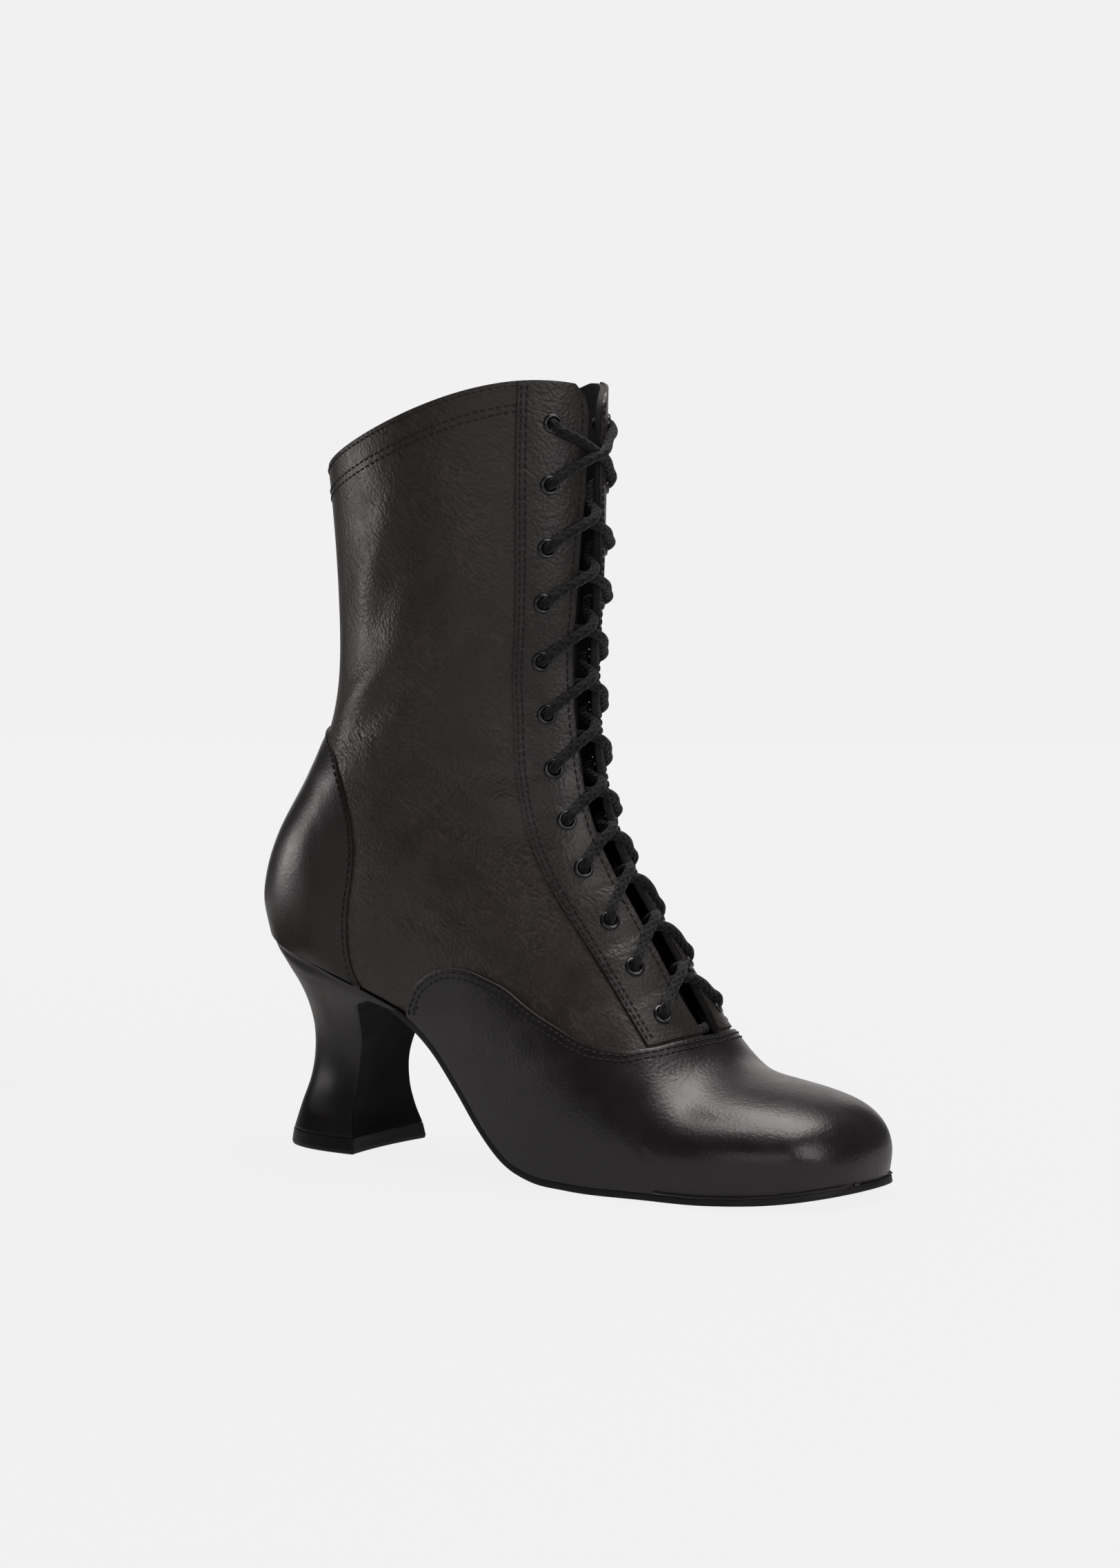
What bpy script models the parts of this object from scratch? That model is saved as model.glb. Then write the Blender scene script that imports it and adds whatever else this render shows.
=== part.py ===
"""Lace-up ladies' dance boot, right foot, on a flared and waisted heel.

Frame: +X to the toe, +Y to the inner (medial) side, +Z up. The origin is on the floor, under the
middle of the heel. Tables and named sizes are in millimetres; meshes are made in metres.
"""

import math
from collections import namedtuple

import bmesh
import bpy
import numpy as np
from mathutils import Matrix, Vector

MM = 0.001

# Driving dimensions
WALL = 1.8  # upper leather with its lining
OVERLAY = 1.0  # vamp, counter and eyestays
GAP = 0.3  # between pieces that touch
SOLE_THICKNESS = 3.2
INSOLE_THICKNESS = 2.2
INSOLE_EASE = 1.4  # between the insole's edge and the faceted wall
HEEL_BACK = -26.2  # rear end of the seat
TOE_TIP = 200.4  # front end of the upper
BREAST_TOP = 37.0  # front end of the seat, where the outsole starts
SOLE_MARGIN = 2.3  # outsole edge outside the feather line of the forepart
TOP_PIECE_HEIGHT = 5.5
TONGUE_THICKNESS = 1.4
LACE_RADIUS = 1.65
EYELET_OUTER = 3.3
EYELET_INNER = 1.95
EYELET_BARREL = 2.35
EYELET_HOLE = 2.75
EYELET_CROWN = 0.6

# Plan of the feather line, where the upper meets the sole: half-widths to each side
Outline = namedtuple("Outline", "x lateral medial")
OUTLINE = (
    Outline(0.0, 26.5, 26.5),
    Outline(20.0, 28.0, 27.0),
    Outline(45.0, 27.5, 24.0),
    Outline(70.0, 31.0, 25.0),
    Outline(95.0, 36.5, 30.5),
    Outline(120.0, 39.5, 35.5),
    Outline(142.0, 39.7, 37.0),
    Outline(160.0, 38.0, 35.0),
    Outline(176.0, 34.0, 30.5),
)
TOE_ROUNDING = 1.85

# Side profile of the feather line: seat, shank, tread and toe spring
Profile = namedtuple("Profile", "x z")
SOLE_LINE = (
    Profile(-30.0, 76.0),
    Profile(-10.0, 68.7),
    Profile(10.0, 62.2),
    Profile(28.0, 56.2),
    Profile(42.0, 49.8),
    Profile(55.0, 40.0),
    Profile(66.0, 28.0),
    Profile(76.0, 16.6),
    Profile(86.0, 8.6),
    Profile(97.0, 4.7),
    Profile(112.0, 3.5),
    Profile(140.0, 3.5),
    Profile(165.0, 3.5),
    Profile(185.0, 4.6),
    Profile(204.0, 6.9),
)

# Sections of the upper from the toe to the collar. Each lies in a plane that runs from a point under
# or behind the foot to a point over or before it. lateral and medial are its greatest half-widths, at
# the share belly_at of the way up; front_round shapes its top; shut is 1 where it closes behind the
# heel; bow lifts its middle out of the plane. On the foot its lower point lies on the feather line.
ON_SOLE = None
Section = namedtuple(
    "Section", "under_x under_z over_x over_z lateral medial belly_at front_round ridge_y shut bow"
)
SECTIONS = (
    Section(200.4, ON_SOLE, 200.4, 8.0, 0.0, 0.0, 0.35, 2.0, 0.0, 0.0, 0.0),
    Section(199.6, ON_SOLE, 200.4, 13.6, 8.4, 7.2, 0.40, 2.0, 0.0, 0.0, 0.0),
    Section(197.4, ON_SOLE, 199.0, 19.4, 16.8, 14.4, 0.42, 2.1, 0.0, 0.0, 0.0),
    Section(193.0, ON_SOLE, 194.8, 25.0, 24.8, 21.4, 0.42, 2.15, 0.0, 0.0, 0.0),
    Section(186.0, ON_SOLE, 187.4, 29.4, 31.6, 27.6, 0.42, 2.1, 0.0, 0.0, 0.0),
    Section(175.5, ON_SOLE, 176.2, 32.3, 36.4, 32.4, 0.40, 2.0, 0.5, 0.0, 0.0),
    Section(161.5, ON_SOLE, 162.3, 34.6, 39.8, 36.4, 0.38, 1.85, 1.0, 0.0, 0.0),
    Section(146.0, ON_SOLE, 148.0, 39.9, 41.0, 38.6, 0.34, 1.65, 1.0, 0.0, 0.0),
    Section(128.0, ON_SOLE, 137.0, 55.2, 40.8, 38.2, 0.32, 1.5, 0.5, 0.0, 0.0),
    Section(110.0, ON_SOLE, 126.0, 73.9, 39.4, 36.4, 0.32, 1.45, 0.0, 0.0, 0.0),
    Section(92.0, ON_SOLE, 115.7, 90.0, 37.2, 33.4, 0.34, 1.45, 0.0, 0.0, 0.0),
    Section(73.0, ON_SOLE, 108.4, 101.4, 34.4, 31.0, 0.36, 1.5, 0.0, 0.0, 0.0),
    Section(50.0, ON_SOLE, 103.9, 110.0, 32.6, 30.2, 0.40, 1.6, 0.0, 0.0, 0.0),
    Section(24.0, ON_SOLE, 100.7, 118.5, 32.2, 31.0, 0.44, 1.7, 0.0, 0.0, 0.0),
    Section(0.0, ON_SOLE, 98.5, 127.5, 32.6, 31.8, 0.46, 1.8, 0.0, 0.0, 0.0),
    Section(-16.4, ON_SOLE, 97.1, 137.0, 32.8, 32.4, 0.46, 1.85, 0.0, 0.3, 0.0),
    Section(-24.0, ON_SOLE, 96.1, 145.5, 32.8, 32.6, 0.46, 1.9, 0.0, 0.7, 0.0),
    Section(-26.2, ON_SOLE, 95.6, 152.5, 32.9, 32.8, 0.46, 1.9, 0.0, 1.0, 0.0),
    Section(-28.0, 83.0, 95.3, 159.0, 33.0, 33.0, 0.46, 1.9, 0.0, 1.0, 0.0),
    Section(-26.2, 93.5, 95.1, 166.0, 33.2, 33.2, 0.46, 1.9, 0.0, 1.0, 0.0),
    Section(-20.6, 106.0, 95.1, 173.5, 33.6, 33.6, 0.47, 1.9, 0.0, 1.0, 0.0),
    Section(-11.8, 121.0, 95.4, 182.0, 34.0, 34.0, 0.48, 1.9, 0.0, 1.0, 0.0),
    Section(-2.8, 138.0, 95.7, 192.0, 34.6, 34.6, 0.48, 1.9, 0.0, 1.0, 0.3),
    Section(1.6, 158.0, 96.1, 205.0, 35.2, 35.2, 0.48, 1.9, 0.0, 1.0, 1.0),
    Section(1.9, 181.0, 96.6, 220.5, 36.2, 36.2, 0.48, 1.9, 0.0, 1.0, 2.5),
    Section(0.6, 204.0, 97.2, 236.5, 37.2, 37.2, 0.48, 1.9, 0.0, 1.0, 5.0),
    Section(-1.6, 225.5, 97.8, 252.5, 38.2, 38.2, 0.48, 1.9, 0.0, 1.0, 8.0),
)
COLLAR = len(SECTIONS) - 1.0
SEAT_END = 17.0  # the section at the rear end of the seat; those above it are closed rings
UPPER_COLUMNS = 11  # points of the mesh round each half-section
BELLY_SHARE = 0.4  # share of a half-section's columns below its widest place
BOW_SKEW = 2.4  # the collar is highest towards the front
BOW_FULLNESS = 0.45

# Lacing gap: distance of the facing edge from the middle of the front, by section
Opening = namedtuple("Opening", "along half_gap")
LACING_GAP = (
    Opening(7.1, 0.0),
    Opening(7.5, 4.6),
    Opening(8.2, 6.6),
    Opening(10.0, 6.5),
    Opening(13.0, 6.7),
    Opening(17.0, 7.5),
    Opening(20.5, 7.6),
    Opening(22.7, 6.4),
    Opening(24.0, 4.4),
    Opening(25.5, 4.0),
    Opening(25.8, 5.4),
    Opening(26.0, 9.5),
)
EYESTAY_SEAM = 28.8  # distance of the eyestay's rear edge from the middle of the front

# Rear edge of the vamp: section that it reaches, by the share of the way round from sole to ridge
VampEdge = namedtuple("VampEdge", "around along")
VAMP_EDGE = (
    VampEdge(0.0, 12.25),
    VampEdge(0.15, 12.38),
    VampEdge(0.24, 12.42),
    VampEdge(0.32, 12.25),
    VampEdge(0.40, 11.72),
    VampEdge(0.47, 11.02),
    VampEdge(0.51, 10.25),
    VampEdge(0.55, 9.22),
    VampEdge(0.60, 8.60),
    VampEdge(0.68, 8.13),
    VampEdge(0.80, 7.77),
    VampEdge(1.0, 7.54),
)

# Front edge of the counter: how far round it reaches at each section, from the seat to the back seam
CounterEdge = namedtuple("CounterEdge", "along around")
COUNTER_EDGE = (
    CounterEdge(13.0, 0.02),
    CounterEdge(13.3, 0.12),
    CounterEdge(13.9, 0.235),
    CounterEdge(14.7, 0.315),
    CounterEdge(15.6, 0.36),
    CounterEdge(17.2, 0.375),
    CounterEdge(18.9, 0.36),
    CounterEdge(20.5, 0.30),
    CounterEdge(21.7, 0.19),
    CounterEdge(22.4, 0.06),
)

# Eyelets, from the throat up: section, and distance from the middle of the front
EyeletRow = namedtuple("EyeletRow", "along from_middle")
EYELET_ROWS = (
    EyeletRow(8.29, 17.4),
    EyeletRow(9.17, 17.7),
    EyeletRow(10.12, 17.0),
    EyeletRow(11.54, 16.0),
    EyeletRow(13.08, 15.4),
    EyeletRow(14.83, 16.3),
    EyeletRow(17.21, 17.3),
    EyeletRow(19.67, 18.8),
    EyeletRow(21.71, 19.2),
    EyeletRow(23.0, 18.3),
    EyeletRow(24.17, 17.7),
    EyeletRow(25.25, 17.1),
)

# One strand of a lace crossing: share of the way up to the next row, distance from the middle of the
# front as a share of the eyelet's on its own side (minus: the other side), height over the upper
Strand = namedtuple("Strand", "up across height")
CROSSING = (
    Strand(0.04, 1.0, 4.2),
    Strand(0.13, 0.70, 3.5),
    Strand(0.26, 0.38, 3.4),
    Strand(0.40, 0.10, 2.9),
    Strand(0.50, -0.08, 1.6),
)
TOP_CROSSING = (
    Strand(0.04, 1.0, 4.2),
    Strand(0.20, 0.62, 3.5),
    Strand(0.42, 0.25, 3.2),
    Strand(0.55, -0.05, 3.2),
    Strand(0.75, -0.50, 3.5),
    Strand(0.96, -1.0, 4.2),
)

# Tongue: depth of its face under the upper's face, by section; it starts sewn under the vamp
TongueDepth = namedtuple("TongueDepth", "along depth half_width")
TONGUE = (
    TongueDepth(6.7, 3.5, 14.0),
    TongueDepth(7.2, 3.6, 16.0),
    TongueDepth(7.9, 6.0, 17.0),
    TongueDepth(9.0, 6.4, 18.0),
    TongueDepth(15.0, 6.4, 20.0),
    TongueDepth(22.0, 6.4, 21.0),
    TongueDepth(24.4, 6.4, 20.0),
    TongueDepth(24.9, 6.4, 14.0),
)

# Heel block: share of the height below the seat, rear and front ends, half-width
HeelLevel = namedtuple("HeelLevel", "down back breast half_width")
HEEL_LEVELS = (
    HeelLevel(0.0, -27.3, BREAST_TOP, 27.4),
    HeelLevel(0.025, -25.7, 24.0, 26.4),
    HeelLevel(0.06, -23.8, 20.0, 25.0),
    HeelLevel(0.12, -21.2, 18.0, 22.8),
    HeelLevel(0.20, -18.6, 16.6, 20.2),
    HeelLevel(0.34, -15.0, 14.4, 16.6),
    HeelLevel(0.48, -12.6, 12.7, 14.6),
    HeelLevel(0.60, -12.3, 12.2, 14.3),
    HeelLevel(0.74, -13.6, 12.5, 15.5),
    HeelLevel(0.88, -16.9, 13.5, 18.2),
    HeelLevel(1.0, -19.6, 14.5, 20.3),
)
HEEL_SQUARENESS = 0.82
SEAT_GROWTH = 1.043  # the seat is this much larger than the feather line
SEAT_BLEND = 0.16  # share of the height over which the seat's outline becomes the stem's
BREAST_HOLLOW = 1.6  # the breast curves in between its two edges


def column(rows, name):
    return [getattr(row, name) for row in rows]


def through(places, values, at):
    """Smooth curve through the values at these places, read at another place or an array of them."""
    places = np.asarray(places, float)
    values = np.asarray(values, float)
    step = np.diff(places)
    rise = np.diff(values) / step
    slope = np.zeros(len(places))
    slope[1:-1] = (rise[:-1] * step[1:] + rise[1:] * step[:-1]) / (step[1:] + step[:-1])
    slope[0] = 1.5 * rise[0] - 0.5 * slope[1]
    slope[-1] = 1.5 * rise[-1] - 0.5 * slope[-2]
    at = np.clip(np.asarray(at, float), places[0], places[-1])
    index = np.clip(np.searchsorted(places, at, side="right") - 1, 0, len(places) - 2)
    length = step[index]
    share = (at - places[index]) / length
    rest = 1 - share
    start = (1 + 2 * share) * rest**2 * values[index] + share * rest**2 * length * slope[index]
    end = share**2 * (3 - 2 * share) * values[index + 1]
    return start + end - share**2 * rest * length * slope[index + 1]


def sole_line(x):
    return through(column(SOLE_LINE, "x"), column(SOLE_LINE, "z"), x)


def sole_slope(x):
    return sole_line(np.asarray(x) + 0.5) - sole_line(np.asarray(x) - 0.5)


def feather_width(x, side):
    """Half-width of the feather line at x, on side "lateral" or "medial"."""
    x = np.asarray(x, float)
    places = column(OUTLINE, "x")
    widths = column(OUTLINE, side)
    middle = through(places, widths, x)
    behind = np.clip((places[0] - x) / (places[0] - HEEL_BACK), 0, 1)
    heel = widths[0] * np.sqrt(1 - behind**2)
    ahead = np.clip((x - places[-1]) / (TOE_TIP - places[-1]), 0, 1)
    taper = 2 * (middle - through(places, widths, places[-1] - 0.5))
    toe = widths[-1] + taper * (TOE_TIP - places[-1]) * ahead * (1 - ahead)
    toe = toe * np.sqrt(1 - ahead**TOE_ROUNDING)
    return np.where(x < places[0], heel, np.where(x > places[-1], toe, middle))


def section_value(name, along):
    if name == "under_z":
        rows = [sole_line(row.under_x) if row.under_z is ON_SOLE else row.under_z for row in SECTIONS]
    else:
        rows = column(SECTIONS, name)
    return through(range(len(SECTIONS)), rows, along)


def upper_surface(along, around):
    """Points on the upper's face. along runs over the sections; around runs from the sole or back
    seam on the lateral side, 0, over the ridge or front, 1, to the medial side, 2."""
    along, around = np.broadcast_arrays(np.asarray(along, float), np.asarray(around, float))
    medial = around > 1
    share = np.where(medial, 2 - around, around)
    under_x = section_value("under_x", along)
    on_sole = along < SEAT_END
    under_z = np.where(on_sole, sole_line(under_x), section_value("under_z", along))
    over_x = section_value("over_x", along)
    over_z = section_value("over_z", along)
    belly_at = section_value("belly_at", along)
    belly = np.where(medial, section_value("medial", along), section_value("lateral", along))
    feather = np.where(medial, feather_width(under_x, "medial"), feather_width(under_x, "lateral"))
    feather = np.where(on_sole, np.minimum(feather, belly), 0.0)
    shut = np.clip(section_value("shut", along), 0, 1)

    low = np.clip(share / BELLY_SHARE, 0, 1) * math.pi / 2
    high = np.clip((share - BELLY_SHARE) / (1 - BELLY_SHARE), 0, 1) * math.pi / 2
    below = share < BELLY_SHARE
    rise = np.where(below, belly_at * (1 - np.cos(low)), belly_at + (1 - belly_at) * np.sin(high))
    low_width = feather + (belly - feather) * np.sin(low) ** (2 / (1 + shut))
    high_width = belly * np.clip(np.cos(high), 0, 1) ** (2 / section_value("front_round", along))
    width = np.where(below, low_width, high_width)

    crown = np.clip((rise - belly_at) / (1 - belly_at), 0, 1)
    swing = section_value("ridge_y", along) * crown**2 * (3 - 2 * crown)
    run_x = over_x - under_x
    run_z = over_z - under_z
    length = np.hypot(run_x, run_z) + 1e-9
    arch = np.clip(np.sin(math.pi * np.clip(rise, 0, 1) ** BOW_SKEW), 0, 1) ** BOW_FULLNESS
    lift = section_value("bow", along) * arch / length
    x = under_x + run_x * rise - lift * run_z
    y = np.where(medial, width, -width) + swing
    z = under_z + run_z * rise + lift * run_x
    return np.stack([x, y, z], -1)


def upper_normal(along, around):
    """Outward directions of the upper's face."""
    along, around = np.broadcast_arrays(np.asarray(along, float), np.asarray(around, float))
    small = 0.02
    ring = along >= SEAT_END
    off_pole = np.clip(along, 0.15, COLLAR)
    before = np.where(ring, (around - small) % 2, np.clip(around - small, 0, 2))
    after = np.where(ring, (around + small) % 2, np.clip(around + small, 0, 2))
    across = upper_surface(off_pole, after) - upper_surface(off_pole, before)
    up = upper_surface(np.clip(off_pole + small, 0, COLLAR), around)
    up = up - upper_surface(np.clip(off_pole - small, 0, COLLAR), around)
    normal = np.cross(across, up)
    at_sole = (along < SEAT_END + 0.01) & (np.minimum(around, 2 - around) < 0.2)
    normal[..., 2] = np.where(at_sole, np.maximum(normal[..., 2], 0), normal[..., 2])
    normal[along < 0.05] = (1.0, 0.0, 0.0)
    return normal / np.linalg.norm(normal, axis=-1, keepdims=True)


def upper_skin(along, around, height):
    """Points at a height over the upper's face, or under it where the height is negative."""
    face = upper_surface(along, around)
    return face + upper_normal(along, around) * np.asarray(height, float)[..., None]


def from_middle(along, distance, side):
    """The value of around that lies this far from the middle of the front, on the given side."""
    shares = np.linspace(1.0, 0.3, 90)
    around = shares if side == "lateral" else 2 - shares
    along, distance = np.broadcast_arrays(np.asarray(along, float), np.asarray(distance, float))
    found = np.empty(along.shape)
    for index in np.ndindex(along.shape):
        points = upper_surface(along[index], around)
        lengths = np.linalg.norm(np.diff(points, axis=0), axis=1)
        reached = np.concatenate([[0.0], np.cumsum(lengths)])
        found[index] = np.interp(distance[index], reached, around)
    return found


def half_gap(along):
    return np.interp(along, column(LACING_GAP, "along"), column(LACING_GAP, "half_gap"))


def vamp_edge(share):
    return through(column(VAMP_EDGE, "around"), column(VAMP_EDGE, "along"), share)


def material(name, colour, roughness, metallic=0.0):
    made = bpy.data.materials.new(name)
    made.use_nodes = True
    shader = made.node_tree.nodes["Principled BSDF"]
    shader.inputs["Base Color"].default_value = (*colour, 1.0)
    shader.inputs["Roughness"].default_value = roughness
    shader.inputs["Metallic"].default_value = metallic
    return made


def add_object(name, mesh, finish, collection):
    piece = bpy.data.objects.new(name, mesh)
    collection.objects.link(piece)
    if finish:
        mesh.materials.append(finish)
    return piece


def shell(name, sheets, finish, collection):
    """A closed solid between an outer and an inner sheet. Each of the sheets is a pair of grids of
    points with the same rows and columns; outer points that coincide are one point."""
    outer_points = []
    inner_points = []
    known = {}
    faces = []
    for outer, inner in sheets:
        rows, columns = outer.shape[:2]
        number = np.empty((rows, columns), int)
        for place in np.ndindex(rows, columns):
            key = tuple(np.round(outer[place], 3) + 0.0)
            if key not in known:
                known[key] = len(outer_points)
                outer_points.append(outer[place])
                inner_points.append(inner[place])
            number[place] = known[key]
        for row in range(rows - 1):
            for col in range(columns - 1):
                near, far = number[row, col : col + 2]
                next_near, next_far = number[row + 1, col : col + 2]
                for corners in ((near, next_near, next_far), (near, next_far, far)):
                    if len(set(corners)) == 3:
                        faces.append(list(corners))
    total = len(outer_points)
    edge_use = {}
    for loop in faces:
        for start, end in zip(loop, loop[1:] + loop[:1]):
            edge_use.setdefault(frozenset((start, end)), []).append((start, end))
    rims = [uses[0] for uses in edge_use.values() if len(uses) == 1]
    inner_faces = [[corner + total for corner in reversed(loop)] for loop in faces]
    rim_faces = [[end, start, start + total, end + total] for start, end in rims]
    points = np.array(outer_points + inner_points) * MM
    mesh = bpy.data.meshes.new(name)
    mesh.from_pydata(points.tolist(), [], faces + inner_faces + rim_faces)
    build = bmesh.new()
    build.from_mesh(mesh)
    bmesh.ops.recalc_face_normals(build, faces=build.faces)
    build.to_mesh(mesh)
    build.free()
    mesh.shade_smooth()
    mesh.set_sharp_from_angle(angle=math.radians(40))
    return add_object(name, mesh, finish, collection)


def upper_rows():
    """Rows of the upper's mesh, closest where the sole line bends at the shank."""
    throat = LACING_GAP[0].along
    return np.concatenate(
        [
            np.linspace(0, throat, 10),
            np.linspace(throat, 12.0, 7)[1:],
            np.linspace(12.0, 14.0, 5)[1:],
            np.linspace(14.0, SEAT_END, 4)[1:],
            np.linspace(SEAT_END, 25.3, 9)[1:],
            [row.along for row in LACING_GAP if row.along > 25.3],
        ]
    )


def feather_stations():
    """Places along the foot at which the upper's mesh meets the sole."""
    rows = upper_rows()
    return section_value("under_x", rows[rows < SEAT_END])[::-1]


def upper_shares(along, side, columns):
    """Columns of one half of the upper, from the sole or back seam to the ridge or facing edge."""
    gap = half_gap(along)
    last = from_middle(along, gap, side)
    last = np.where(gap > 0, last, 1.0)
    first = 0.0 if side == "lateral" else 2.0
    spread = np.linspace(0, 1, columns)
    return first + (last[:, None] - first) * spread[None, :]


def upper_sheets(inner_height, outer_height):
    """The upper's form between two heights over its face, as a lateral and a medial half."""
    rows = upper_rows()
    sheets = []
    for side in ("lateral", "medial"):
        around = upper_shares(rows, side, UPPER_COLUMNS)
        along = np.broadcast_to(rows[:, None], around.shape)
        outer = upper_skin(along, around, np.full(around.shape, outer_height))
        inner = upper_skin(along, around, np.full(around.shape, inner_height))
        sheets.append((outer, inner))
    return sheets


def vamp_outline(raised):
    """Side view of everything below the vamp's rear edge; raised lets the edge out."""
    share = np.linspace(0, 1, 33)
    edge = upper_surface(vamp_edge(share), share)[:, [0, 2]]
    edge[:, 1] += raised
    first = edge[0] - (0.8, 12.0)
    last = edge[-1] + (12.0, 9.0)
    front = TOE_TIP + 20
    return np.vstack([first, edge, last, (front, last[1]), (front, -20.0), (first[0], -20.0)])


def counter_outline():
    """Side view of everything behind the counter's front edge."""
    along = np.linspace(COUNTER_EDGE[0].along, COUNTER_EDGE[-1].along, 25)
    share = through(column(COUNTER_EDGE, "along"), column(COUNTER_EDGE, "around"), along)
    edge = upper_surface(along, share)[:, [0, 2]]
    first = edge[0] - (0.0, 12.0)
    last = edge[-1] + (-12.0, 9.0)
    behind = HEEL_BACK - 20
    return np.vstack([first, edge, last, (behind, last[1]), (behind, first[1])])


def eyestay_outline():
    """Side view of everything in front of the eyestay's rear edge."""
    along = np.linspace(8.0, COLLAR, 25)
    edge = upper_surface(along, from_middle(along, EYESTAY_SEAM, "lateral"))[:, [0, 2]]
    first = edge[0] + (3.0, -5.0)
    last = edge[-1] + (0.0, 20.0)
    return np.vstack([first, edge, last, (TOE_TIP, last[1]), (TOE_TIP, first[1])])


def side_cutter(name, outline, collection, first_y=-70.0, last_y=70.0):
    """A prism across the boot, from an outline in side view."""
    rings = [np.insert(outline, 1, y, axis=1) * MM for y in (first_y, last_y)]
    cutter = loft(name, rings, None, collection)
    cutter.hide_render = True
    cutter.display_type = "WIRE"
    return cutter


def tongue_sheet(rows, columns):
    along = np.linspace(TONGUE[0].along, TONGUE[-1].along, rows)
    depth = through(column(TONGUE, "along"), column(TONGUE, "depth"), along)
    width = through(column(TONGUE, "along"), column(TONGUE, "half_width"), along)
    spread = np.linspace(-1, 1, columns)
    around = np.empty((rows, columns))
    for row, place in enumerate(along):
        for col, share in enumerate(spread):
            side = "lateral" if share < 0 else "medial"
            around[row, col] = from_middle(place, abs(share) * width[row], side)
    along = np.broadcast_to(along[:, None], around.shape)
    depth = np.broadcast_to(depth[:, None], around.shape)
    return [(upper_skin(along, around, -depth), upper_skin(along, around, -depth - TONGUE_THICKNESS))]


def outsole_sheet(columns):
    stations = feather_stations()
    start = BREAST_TOP + 2 * GAP
    x = np.concatenate([[start], stations[stations > start + 1]])
    spread = np.linspace(-1, 1, columns)
    forepart = np.clip((x - 45) / 40, 0, 1)
    margin = 1.2 + (SOLE_MARGIN - 1.2) * forepart
    toe_share = np.clip((x - 150) / (TOE_TIP - 150), 0, 1)
    lateral = feather_width(x, "lateral") + margin * np.sqrt(1 - toe_share**8)
    medial = feather_width(x, "medial") + margin * np.sqrt(1 - toe_share**8)
    place = x + margin * toe_share**2
    y = np.where(spread < 0, lateral[:, None] * spread, medial[:, None] * spread)
    slope = sole_slope(x)
    top_z = sole_line(x) - GAP * (1 + slope**2)
    length = np.hypot(1, slope)
    low_x = place + SOLE_THICKNESS * slope / length
    low_z = np.maximum(top_z - SOLE_THICKNESS / length, 0.0)
    top = np.stack(np.broadcast_arrays(place[:, None], y, top_z[:, None]), -1)
    bottom = np.stack(np.broadcast_arrays(low_x[:, None], y, low_z[:, None]), -1)
    return [(top, bottom)]


def insole_sheet(columns):
    clear = WALL + INSOLE_EASE
    first = HEEL_BACK + clear
    last = TOE_TIP - clear
    stations = feather_stations()
    x = np.concatenate([[first], stations[(stations > first + 1) & (stations < last - 1)], [last]])
    spread = np.linspace(-1, 1, columns)
    ends = np.clip(np.minimum(x - first, last - x) / 6, 0, 1)
    round_end = np.sqrt(ends * (2 - ends))
    lateral = np.maximum(feather_width(x, "lateral") - clear, 0) * round_end
    medial = np.maximum(feather_width(x, "medial") - clear, 0) * round_end
    y = np.where(spread < 0, lateral[:, None] * spread, medial[:, None] * spread)
    low = np.stack(np.broadcast_arrays(x[:, None], y, sole_line(x)[:, None]), -1)
    high = low + np.array([0.0, 0.0, INSOLE_THICKNESS])
    return [(high, low)]


def seat_width(x, side):
    """Half-width of the heel's seat: the feather line, let out a little."""
    return SEAT_GROWTH * feather_width(np.where(x < 0, x / SEAT_GROWTH, x), side)


def heel_ring(level, half_count):
    """One level of the heel, seen from above: lateral breast edge, back, medial edge, hollow breast."""
    turn = np.linspace(0, math.pi, half_count)
    x = level.breast + (level.back - level.breast) * np.sin(turn) ** HEEL_SQUARENESS
    y = -level.half_width * np.sign(np.cos(turn)) * np.abs(np.cos(turn)) ** HEEL_SQUARENESS
    seat = np.where(y < 0, -seat_width(x, "lateral"), seat_width(x, "medial"))
    like_seat = np.clip(1 - level.down / SEAT_BLEND, 0, 1) ** 2
    y = y + (seat - y) * like_seat
    spread = np.linspace(y[-1], y[0], half_count // 2 + 1)[1:-1]
    off_middle = np.linspace(1, -1, half_count // 2 + 1)[1:-1]
    hollow = BREAST_HOLLOW * np.clip(level.down / SEAT_BLEND, 0, 1)
    x = np.concatenate([x, level.breast - hollow * (1 - off_middle**2)])
    y = np.concatenate([y, spread])
    return x, y


def heel_block(finish, collection):
    seat_x, _ = heel_ring(HEEL_LEVELS[0], 17)
    seat_z = sole_line(np.where(seat_x < 0, seat_x / SEAT_GROWTH, seat_x)) - GAP
    floor_z = TOP_PIECE_HEIGHT + GAP
    rings = []
    for level in HEEL_LEVELS:
        x, y = heel_ring(level, 17)
        z = seat_z + (floor_z - seat_z) * level.down
        rings.append(np.stack([x, y, z], -1) * MM)
    return loft("heel", rings, finish, collection)


def loft(name, rings, finish, collection):
    """A solid through closed rings of points, capped at both ends."""
    build = bmesh.new()
    loops = [[build.verts.new(point) for point in ring] for ring in rings]
    for lower, upper in zip(loops, loops[1:]):
        for first in range(len(lower)):
            second = (first + 1) % len(lower)
            build.faces.new((lower[first], lower[second], upper[second], upper[first]))
    build.faces.new(loops[0])
    build.faces.new(loops[-1])
    bmesh.ops.triangulate(build, faces=[face for face in build.faces if len(face.verts) > 4])
    bmesh.ops.recalc_face_normals(build, faces=build.faces)
    mesh = bpy.data.meshes.new(name)
    build.to_mesh(mesh)
    build.free()
    mesh.shade_smooth()
    mesh.set_sharp_from_angle(angle=math.radians(40))
    return add_object(name, mesh, finish, collection)


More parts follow.
